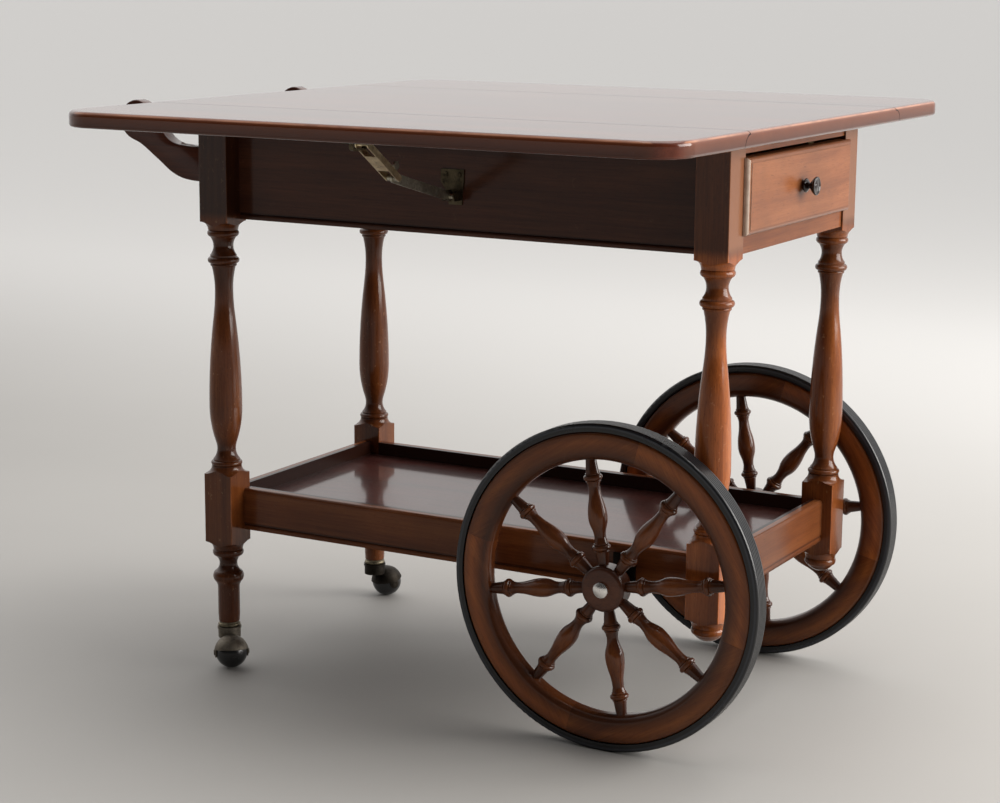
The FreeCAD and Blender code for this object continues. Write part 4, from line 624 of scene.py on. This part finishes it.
def trayBoardDarkening(tree, coordinate):
    # darker along the edges, next to the rails
    x, y = splitVector(tree, vectorCalc(tree, "ABSOLUTE", coordinate))[:2]
    endways = span(tree, x, *tray["cornerX"])
    sideways = span(tree, y, *tray["cornerY"])
    return calc(tree, "MULTIPLY", calc(tree, "MAXIMUM", endways, sideways), tray["edgeDarkening"])


def drawerToner(tree, coordinate):
    # a darker ring round the knob, and stain in the step of the moulding
    x, y, z = splitVector(tree, coordinate)
    up = calc(tree, "SUBTRACT", z, drawer["knobZ"])
    radius = vectorCalc(tree, "LENGTH", joinVector(tree, 0.0, y, up))
    return calc(tree, "MAXIMUM", span(tree, radius, *drawer["ring"]), span(tree, x, *drawer["step"]))


def drawerPaintedHighlight(tree, coordinate, settings):
    # a painted highlight lies on the moulding where it turns away from the face
    facing = splitVector(tree, addNode(tree, "ShaderNodeNewGeometry").outputs["Normal"])["Y"]
    ragged = span(tree, noise(tree, coordinate, 60.0, 3.0, 0.6), 0.30, 0.60, 0.75, 1.0)
    turned = span(tree, calc(tree, "ABSOLUTE", facing), *drawer["arris"])
    return [(calc(tree, "MULTIPLY", turned, ragged), settings["edgeTone"])]


metals = {
    "brass": dict(
        label="agedBrass", tones=((0.62, 0.49, 0.28), (0.88, 0.75, 0.50)), rough=0.30, spread=0.2,
        tarnish=0.45, tarnishTone=(0.16, 0.12, 0.07),
    ),
    "ferrule": dict(
        label="dullFerrule", tones=((0.15, 0.125, 0.085), (0.26, 0.225, 0.155)), rough=0.42, spread=0.2,
        tarnish=0.7, tarnishTone=(0.05, 0.042, 0.03),
    ),
    "plate": dict(
        label="bronzedPlate", tones=((0.065, 0.052, 0.032), (0.130, 0.105, 0.064)), rough=0.48, spread=0.2,
        tarnish=0.7, tarnishTone=(0.03, 0.025, 0.018),
    ),
    "steel": dict(
        label="dullSteel", tones=((0.28, 0.275, 0.265), (0.44, 0.43, 0.41)), rough=0.38, spread=0.2,
        tarnish=0.5, tarnishTone=(0.09, 0.06, 0.04),
    ),
    # near black metal for the axle brackets behind the hubs
    "darkBracketMetal": dict(
        label="darkBracketMetal", tones=((0.020, 0.018, 0.016), (0.045, 0.040, 0.035)), rough=0.5, spread=0.2,
        tarnish=0.6, tarnishTone=(0.05, 0.03, 0.02),
    ),
    "greyMetal": dict(
        label="greyedBrass", tones=((0.30, 0.28, 0.22), (0.50, 0.465, 0.38)), rough=0.38, spread=0.2,
        tarnish=0.55, tarnishTone=(0.08, 0.068, 0.05),
    ),
    "hood_near": dict(
        label="bronzedHood", tones=((0.135, 0.115, 0.090), (0.250, 0.220, 0.180)), rough=0.60, spread=0.15,
        tarnish=0.4, tarnishTone=(0.070, 0.058, 0.046),
    ),
    # the far hood is the same hood as the near one, painted darker as painted shade
    "hood_far": dict(
        label="hoodPaintedShade", tones=((0.022, 0.018, 0.014), (0.042, 0.036, 0.030)), rough=0.56, spread=0.15,
        tarnish=0.5, tarnishTone=(0.012, 0.010, 0.008),
    ),
    "nickel": dict(
        label="nickelCap", tones=((0.82, 0.80, 0.76), (0.93, 0.915, 0.88)), rough=0.22, spread=0.12,
        tarnish=0.25, tarnishTone=(0.36, 0.33, 0.28),
    ),
}
metalFilm = {
    "scuff": 0.25, "dust": 0.05, "dustTone": (0.35, 0.33, 0.30), "tarnishRough": 0.35,
    "scratch": (1900, 260, 1900), "scratchTurn": (0.2, 0.1, 0.4), "bump": 0.15, "relief": 0.0004,
}


def metal(label, tones, rough, spread, tarnish, tarnishTone):
    # cloudy metal with fine scratches one way; where it is tarnished it is also rougher
    material, tree, coordinate = startMaterial(label)
    film = useGroup(tree, handling, Vector=coordinate, Base=rough, Cloud=spread, Scuff=metalFilm["scuff"],
                    Dust=metalFilm["dust"])
    cloud = noise(tree, coordinate, 60.0, 5.0, 0.65)
    colour = ramp(tree, span(tree, cloud, 0.3, 0.7), [(0.0, tones[0]), (1.0, tones[1])])
    spots = span(tree, noise(tree, coordinate, 170.0, 4.0, 0.7), 0.5, 0.7)
    spots = calc(tree, "MULTIPLY", spots, tarnish)
    colour = mixColour(tree, spots, colour, (*tarnishTone, 1))
    colour = mixColour(tree, film["Dust"], colour, (*metalFilm["dustTone"], 1))
    roughness = calc(tree, "MULTIPLY_ADD", spots, metalFilm["tarnishRough"], film["Roughness"], clamp=True)
    scratch = stretch(tree, coordinate, metalFilm["scratch"], metalFilm["scratchTurn"])
    scratch = noise(tree, scratch, 1.0, 2.0)
    normal = bump(tree, calc(tree, "ADD", scratch, cloud), metalFilm["bump"], metalFilm["relief"])
    sockets = principled(tree, label, colour, roughness, normal)
    sockets["Metallic"].default_value = 1.0
    return material


rubbers = {
    "ball": dict(
        tones=((0.0065, 0.0065, 0.0070), (0.0130, 0.0130, 0.0135)),
        rough=0.26, dust=0.12, specular=0.6, relief=0.08,
    ),
    "tyre": dict(
        tones=((0.0036, 0.0040, 0.0052), (0.0075, 0.0080, 0.0100)),
        rough=0.29, dust=0.02, specular=0.5, relief=0.12,
    ),
}
rubberFilm = {
    "cloud": 0.16, "scuff": 0.25, "scuffTone": (0.09, 0.09, 0.095), "dustTone": (0.20, 0.19, 0.18),
    "pebble": 900.0, "depth": 0.0003, "paintedShoulderTone": (0.040, 0.044, 0.058),
}
# a painted highlight line along the tyre's shoulder
paintedShoulderHighlight = {"centre": 0.1995, "half": 0.0004, "fade": 0.0020, "strength": 0.7}


def rubber(label, tones, rough, dust, specular, relief, hand=0):
    # hand is the side of a wheel, whose tyre gets a painted highlight line along its shoulder
    material, tree, coordinate = startMaterial(label)
    film = useGroup(tree, handling, Vector=coordinate, Base=rough, Cloud=rubberFilm["cloud"],
                    Scuff=rubberFilm["scuff"], Dust=dust)
    cloud = noise(tree, coordinate, 38.0, 5.0, 0.65)
    colour = ramp(tree, span(tree, cloud, 0.3, 0.7), [(0.0, tones[0]), (1.0, tones[1])])
    colour = mixColour(tree, film["Scuffs"], colour, (*rubberFilm["scuffTone"], 1))
    colour = mixColour(tree, film["Dust"], colour, (*rubberFilm["dustTone"], 1))
    if hand:
        # painted highlight along the shoulder
        line = band(tree, wheelPlacesFor(tree, coordinate, hand)["Radius"], **paintedShoulderHighlight)
        colour = mixColour(tree, line, colour, (*rubberFilm["paintedShoulderTone"], 1))
    pebble = noise(tree, coordinate, rubberFilm["pebble"], 2.0)
    normal = bump(tree, calc(tree, "ADD", pebble, cloud), relief, rubberFilm["depth"])
    sockets = principled(tree, label, colour, film["Roughness"], normal)
    sockets["Specular IOR Level"].default_value = specular
    return material


acrossTurn = woods["railsCross"]["turn"]
sideRails = dict(woods["railsLong"], tones=woods["railsCross"]["tones"], insideTone=tray["sideTone"])
endRails = dict(woods["railsCross"], insideTone=tray["endTone"])
finishes = {
    "topBoards": boardWood("topBoards", woods["topBoards"], tonerAndPaintedShade=topTonerAndShade, wearAndPaintedLight=boardEdges),
    "aprons": boardWood("aprons", woods["railsLong"], tonerAndPaintedShade=apronTonerAndShadow),
    "endApron": boardWood("endApron", woods["railsCross"], tonerAndPaintedShade=apronTonerAndShadow),
    "drawerRails": boardWood("drawerRails", woods["railsCross"]),
    "drawerFace": boardWood("drawerFace", woods["drawerFace"], tonerAndPaintedShade=drawerToner, wearAndPaintedLight=drawerPaintedHighlight),
    "trayRails": boardWood("trayRails", sideRails, tonerAndPaintedShade=trayTonerAndShade, wearAndPaintedLight=trayInside),
    "trayEnds": boardWood("trayEnds", endRails, tonerAndPaintedShade=trayTonerAndShade, wearAndPaintedLight=trayInside),
    "trayBoard": boardWood("trayBoard", woods["trayBoard"], tonerAndPaintedShade=trayBoardDarkening),
    "pineCross": boardWood("pineCross", dict(woods["pine"], turn=acrossTurn)),
    "legs": legWood(),
    "ball": rubber("ballPlastic", **rubbers["ball"]),
}
for name in ("handleArms", "handleBar", "pine", "knob"):
    finishes[name] = boardWood(name, woods[name])
for name, settings in metals.items():
    finishes[name] = metal(**settings)
for side, hand in (("near", -1), ("far", 1)):
    finishes["tyre_" + side] = rubber("tyreRubber_" + side, **rubbers["tyre"], hand=hand)
    finishes["rim_" + side] = rimWood(side, hand)
    finishes["spoke_" + side] = spokeWood(side, hand)
    finishes["hub_" + side] = hubWood(side, hand)
print("finishes mixed:", len(finishes))


dressing = {
    "top_centre": "topBoards", "leaf_near": "topBoards", "leaf_far": "topBoards",
    "apron_near": "aprons", "apron_far": "aprons", "apron_handle_end": "endApron",
    "drawer_rail_upper": "drawerRails", "drawer_rail_lower": "drawerRails",
    "drawer_front": "drawerFace", "drawer_knob": "knob",
    "tray_rail_near": "trayRails", "tray_rail_far": "trayRails",
    "tray_rail_wheel_end": "trayEnds", "tray_rail_handle_end": "trayEnds", "tray_board": "trayBoard",
    "handle_arm_near": "handleArms", "handle_arm_far": "handleArms", "handle_bar": "handleBar",
    "leg_near_wheel_end": "legs", "leg_far_wheel_end": "legs",
    "leg_near_handle_end": "legs", "leg_far_handle_end": "legs",
    "drawer_runner_near": "pine", "drawer_runner_far": "pine", "drawer_kickers": "pine",
    "drawer_side_near": "pine", "drawer_side_far": "pine", "drawer_bottom": "pine",
    "drawer_back": "pineCross",
    "axle": "steel", "axle_bracket_near": "darkBracketMetal", "axle_bracket_far": "darkBracketMetal",
    "caster_ferrules": "ferrule", "hinge_fixed_flaps": "brass",
    "bracket_screws": "plate",
}
for side in ("near", "far"):
    dressing["hinge_flaps_" + side] = "brass"
    dressing["stay_apron_bracket_" + side] = "plate"
    dressing["stay_leaf_bracket_" + side] = "plate"
    dressing["stay_lower_arm_" + side] = "greyMetal"
    dressing["stay_upper_arm_" + side] = "brass"
    dressing["wheel_tyre_" + side] = "tyre_" + side
    dressing["wheel_rim_" + side] = "rim_" + side
    dressing["wheel_spokes_" + side] = "spoke_" + side
    dressing["wheel_hub_" + side] = "hub_" + side
    dressing["wheel_cap_" + side] = "nickel"
    dressing["caster_hood_" + side] = "hood_" + side
    dressing["caster_ball_" + side] = "ball"

for name, finish in dressing.items():
    slots = nodes[name].material_slots
    if not slots:
        nodes[name].data.materials.append(finishes[finish])
    for slot in slots:
        slot.material = finishes[finish]
print("nodes dressed:", len(dressing), "left over:", sorted(set(nodes) - set(dressing)))


handleArm = {
    # outline in x and z from the face on the leg to the head; an arc runs through its "smooth" points
    "outline": (
        (-0.3766, 0.6573, "corner"), (-0.3766, 0.7032, "corner"), (-0.4060, 0.7034, "smooth"),
        (-0.4290, 0.7078, "smooth"), (-0.4450, 0.7215, "smooth"), (-0.4600, 0.7425, "smooth"),
        (-0.4780, 0.7578, "smooth"), (-0.4950, 0.7582, "smooth"), (-0.5090, 0.7460, "smooth"),
        (-0.5130, 0.7300, "smooth"), (-0.5050, 0.7146, "smooth"), (-0.4790, 0.7014, "smooth"),
        (-0.4540, 0.6842, "smooth"), (-0.4225, 0.6634, "smooth"), (-0.3960, 0.6574, "smooth"),
    ),
    "y": 0.1852, "thickness": 0.020, "round": 0.002, "roundSteps": 3, "arcSteps": 14,
    "merge": 0.00005, "smoothAngle": 32,
}


def cutHandleArm(side, hand):
    # a flat curve in its own XY plane, thickened, then stood up beside the leg
    bpy.ops.object.select_all(action="DESELECT")
    bpy.ops.curve.primitive_bezier_curve_add(enter_editmode=False, location=(0, 0, 0))
    arm = bpy.context.object
    arm.name = arm.data.name = "handleArm_" + side
    flat = arm.data
    flat.dimensions = "2D"
    flat.fill_mode = "BOTH"
    flat.resolution_u = handleArm["arcSteps"]
    flat.extrude = handleArm["thickness"] / 2 - handleArm["round"]
    flat.bevel_depth = handleArm["round"]
    flat.bevel_resolution = handleArm["roundSteps"]
    flat.offset = -handleArm["round"]
    line = flat.splines[0]
    line.bezier_points.add(len(handleArm["outline"]) - len(line.bezier_points))
    line.use_cyclic_u = True
    for point, (x, z, kind) in zip(line.bezier_points, handleArm["outline"]):
        point.co = (x, z, 0)
        point.handle_left_type = point.handle_right_type = "VECTOR" if kind == "corner" else "AUTO"
    bpy.ops.object.convert(target="MESH")
    bpy.ops.object.mode_set(mode="EDIT")
    bpy.ops.mesh.select_all(action="SELECT")
    bpy.ops.transform.rotate(value=math.radians(-90), orient_axis="X", center_override=(0, 0, 0))
    bpy.ops.transform.translate(value=(0, handleArm["y"] * hand, 0))
    bpy.ops.mesh.remove_doubles(threshold=handleArm["merge"])
    bpy.ops.mesh.normals_make_consistent(inside=False)
    bpy.ops.object.mode_set(mode="OBJECT")
    bpy.ops.object.shade_smooth_by_angle(angle=math.radians(handleArm["smoothAngle"]))
    arm.data.materials.clear()
    arm.data.materials.append(finishes["handleArms"])
    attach(arm, "frame")
    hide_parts("handle_arm_" + side)


knob = {
    # reach from the drawer's face, and radius: dowel, sharp ring, waist, bell, lip, dished face, low boss
    "rings": (
        (0.0000, 0.0040), (0.0000, 0.0052), (0.0014, 0.0066), (0.0036, 0.0091), (0.0045, 0.0091),
        (0.0066, 0.0066), (0.0084, 0.0040), (0.0096, 0.0031), (0.0106, 0.0050), (0.0132, 0.0087),
        (0.0160, 0.0112), (0.0172, 0.0117), (0.0184, 0.0116), (0.0190, 0.0106), (0.0181, 0.0088),
        (0.0179, 0.0064), (0.0187, 0.0042), (0.0191, 0.0016),
    ),
    "face": 0.384, "z": 0.6789, "dowel": 0.011, "sides": 32, "smoothSteps": 2, "smoothAngle": 40,
}


def turnKnob():
    # the end of the dowel is a filled circle, and each ring is pulled out of the last one
    bpy.ops.object.select_all(action="DESELECT")
    radius = knob["rings"][0][1]
    place = knob["face"] - knob["dowel"]
    bpy.ops.mesh.primitive_circle_add(vertices=knob["sides"], radius=radius, fill_type="NGON",
                                      location=(place, 0, knob["z"]), rotation=(0, math.radians(90), 0))
    turned = bpy.context.object
    turned.name = turned.data.name = "drawerKnob"
    bpy.ops.object.transform_apply(location=True, rotation=True, scale=True)
    bpy.ops.object.mode_set(mode="EDIT")
    bpy.ops.mesh.select_all(action="SELECT")
    for reach, ring in knob["rings"]:
        step = knob["face"] + reach - place
        bpy.ops.mesh.extrude_region_move(TRANSFORM_OT_translate={"value": (step, 0, 0)})
        place += step
        factor = ring / radius
        bpy.ops.transform.resize(value=(1, factor, factor), center_override=(place, 0, knob["z"]))
        radius = ring
    bpy.ops.mesh.select_all(action="SELECT")
    bpy.ops.mesh.normals_make_consistent(inside=False)
    bpy.ops.object.mode_set(mode="OBJECT")
    smooth = turned.modifiers.new("smooth", "SUBSURF")
    smooth.levels = smooth.render_levels = knob["smoothSteps"]
    bpy.ops.object.modifier_apply(modifier=smooth.name)
    bpy.ops.object.shade_smooth_by_angle(angle=math.radians(knob["smoothAngle"]))
    turned.data.materials.append(finishes["knob"])
    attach(turned, "drawer")
    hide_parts("drawer_knob")


for side, hand in (("near", -1), ("far", 1)):
    cutHandleArm(side, hand)
turnKnob()
print("handle arms and knob made")


stage = {
    "floorSize": 160.0, "floorTone": (0.38, 0.37, 0.355), "mottle": 1.05,
    "floorRough": 0.62, "floorSpecular": 0.2,
    # the floor turns paler behind the trolley and far away from it
    "backTone": (0.78, 0.77, 0.755), "back": (0.5, 3.2), "ring": (3.2, 7.0),
    "roomTone": (1.0, 0.985, 0.97), "wallSide": (-0.25, 0.93, 0.05),
    "room": (-0.55, 0.45, 0.06, 1.35),  # facing away and towards the wall, and how bright
    "wall": (0.12, 0.45, 0.52, 1.0),  # height of the direction, and how bright
    "backdrop": 0.62,
}


def layFloor():
    bpy.ops.mesh.primitive_plane_add(size=stage["floorSize"], location=(0, 0, 0))
    floor = bpy.context.object
    floor.name = "floor"
    material, tree, coordinate = startMaterial("floorPaint")
    tone = stage["floorTone"]
    patch = noise(tree, coordinate, 1.3, 4.0)
    colour = ramp(tree, patch, [(0.3, tone), (0.7, tuple(value * stage["mottle"] for value in tone))])
    behind = span(tree, splitVector(tree, coordinate)["Y"], *stage["back"])
    beyond = span(tree, vectorCalc(tree, "LENGTH", coordinate), *stage["ring"])
    colour = mixColour(tree, calc(tree, "MAXIMUM", behind, beyond), colour, (*stage["backTone"], 1))
    sockets = principled(tree, "floorPaint", colour, stage["floorRough"])
    sockets["Specular IOR Level"].default_value = stage["floorSpecular"]
    floor.data.materials.append(material)


def lightRoom():
    # bright on the side of the wall; the camera itself sees one even backdrop
    world = bpy.data.worlds.new("studio")
    world.use_nodes = True
    bpy.context.scene.world = world
    tree = world.node_tree
    tree.nodes.clear()
    direction = addNode(tree, "ShaderNodeTexCoord").outputs["Generated"]
    back = vectorCalc(tree, "DOT_PRODUCT", direction, stage["wallSide"])
    lift = span(tree, splitVector(tree, direction)["Z"], *stage["wall"])
    level = calc(tree, "MULTIPLY", span(tree, back, *stage["room"]), lift)
    seen = addNode(tree, "ShaderNodeLightPath").outputs["Is Camera Ray"]
    level = mixValue(tree, seen, level, stage["backdrop"])
    shader = addNode(tree, "ShaderNodeBackground")
    shader.inputs["Color"].default_value = (*stage["roomTone"], 1)
    plug(tree, shader.inputs["Strength"], level)
    output = addNode(tree, "ShaderNodeOutputWorld")
    plug(tree, output.inputs["Surface"], shader.outputs[0])


lamps = {
    # name: place, aimed at, width, height, watts, colour
    "window": ((3.2, 1.0, 1.45), (0.1, 0.0, 0.45), 2.8, 2.0, 165, (1.0, 0.97, 0.93)),
    "ceiling": ((0.4, 0.2, 3.4), (0.0, 0.0, 0.4), 2.6, 2.6, 60, (1.0, 0.98, 0.955)),
}


def hangLamps():
    for name, (place, aim, width, height, watts, colour) in lamps.items():
        lamp = bpy.data.lights.new(name, "AREA")
        lamp.shape = "RECTANGLE"
        lamp.size, lamp.size_y = width, height
        lamp.energy = watts
        lamp.color = colour
        holder = bpy.data.objects.new(name, lamp)
        bpy.context.scene.collection.objects.link(holder)
        holder.location = place
        holder.rotation_euler = (Vector(aim) - Vector(place)).to_track_quat("-Z", "Y").to_euler()


viewpoint = {
    "place": (1.3918, -2.5723, 0.9520),
    "turn": 29.066, "tip": 11.281, "roll": 0.474, "lens": 80.55, "sensor": 36.0,
    "nearest": 0.05, "farthest": 100,
}


def setCamera():
    turn, tip, roll = (math.radians(viewpoint[name]) for name in ("turn", "tip", "roll"))
    forward = Vector((-math.sin(turn) * math.cos(tip), math.cos(turn) * math.cos(tip), -math.sin(tip)))
    level = Vector((math.cos(turn), math.sin(turn), 0))
    up = level.cross(forward)
    right = level * math.cos(roll) + up * math.sin(roll)
    up = right.cross(forward)
    lens = bpy.data.cameras.new("view")
    lens.lens = viewpoint["lens"]
    lens.sensor_fit = "HORIZONTAL"
    lens.sensor_width = viewpoint["sensor"]
    lens.clip_start = viewpoint["nearest"]
    lens.clip_end = viewpoint["farthest"]
    eye = bpy.data.objects.new("view", lens)
    bpy.context.scene.collection.objects.link(eye)
    turned = Matrix((right, up, -forward)).transposed().to_4x4()
    eye.matrix_world = Matrix.Translation(Vector(viewpoint["place"])) @ turned
    bpy.context.scene.camera = eye


layFloor()
lightRoom()
hangLamps()
setCamera()
bpy.context.scene.view_settings.view_transform = "Standard"
print("stage set")
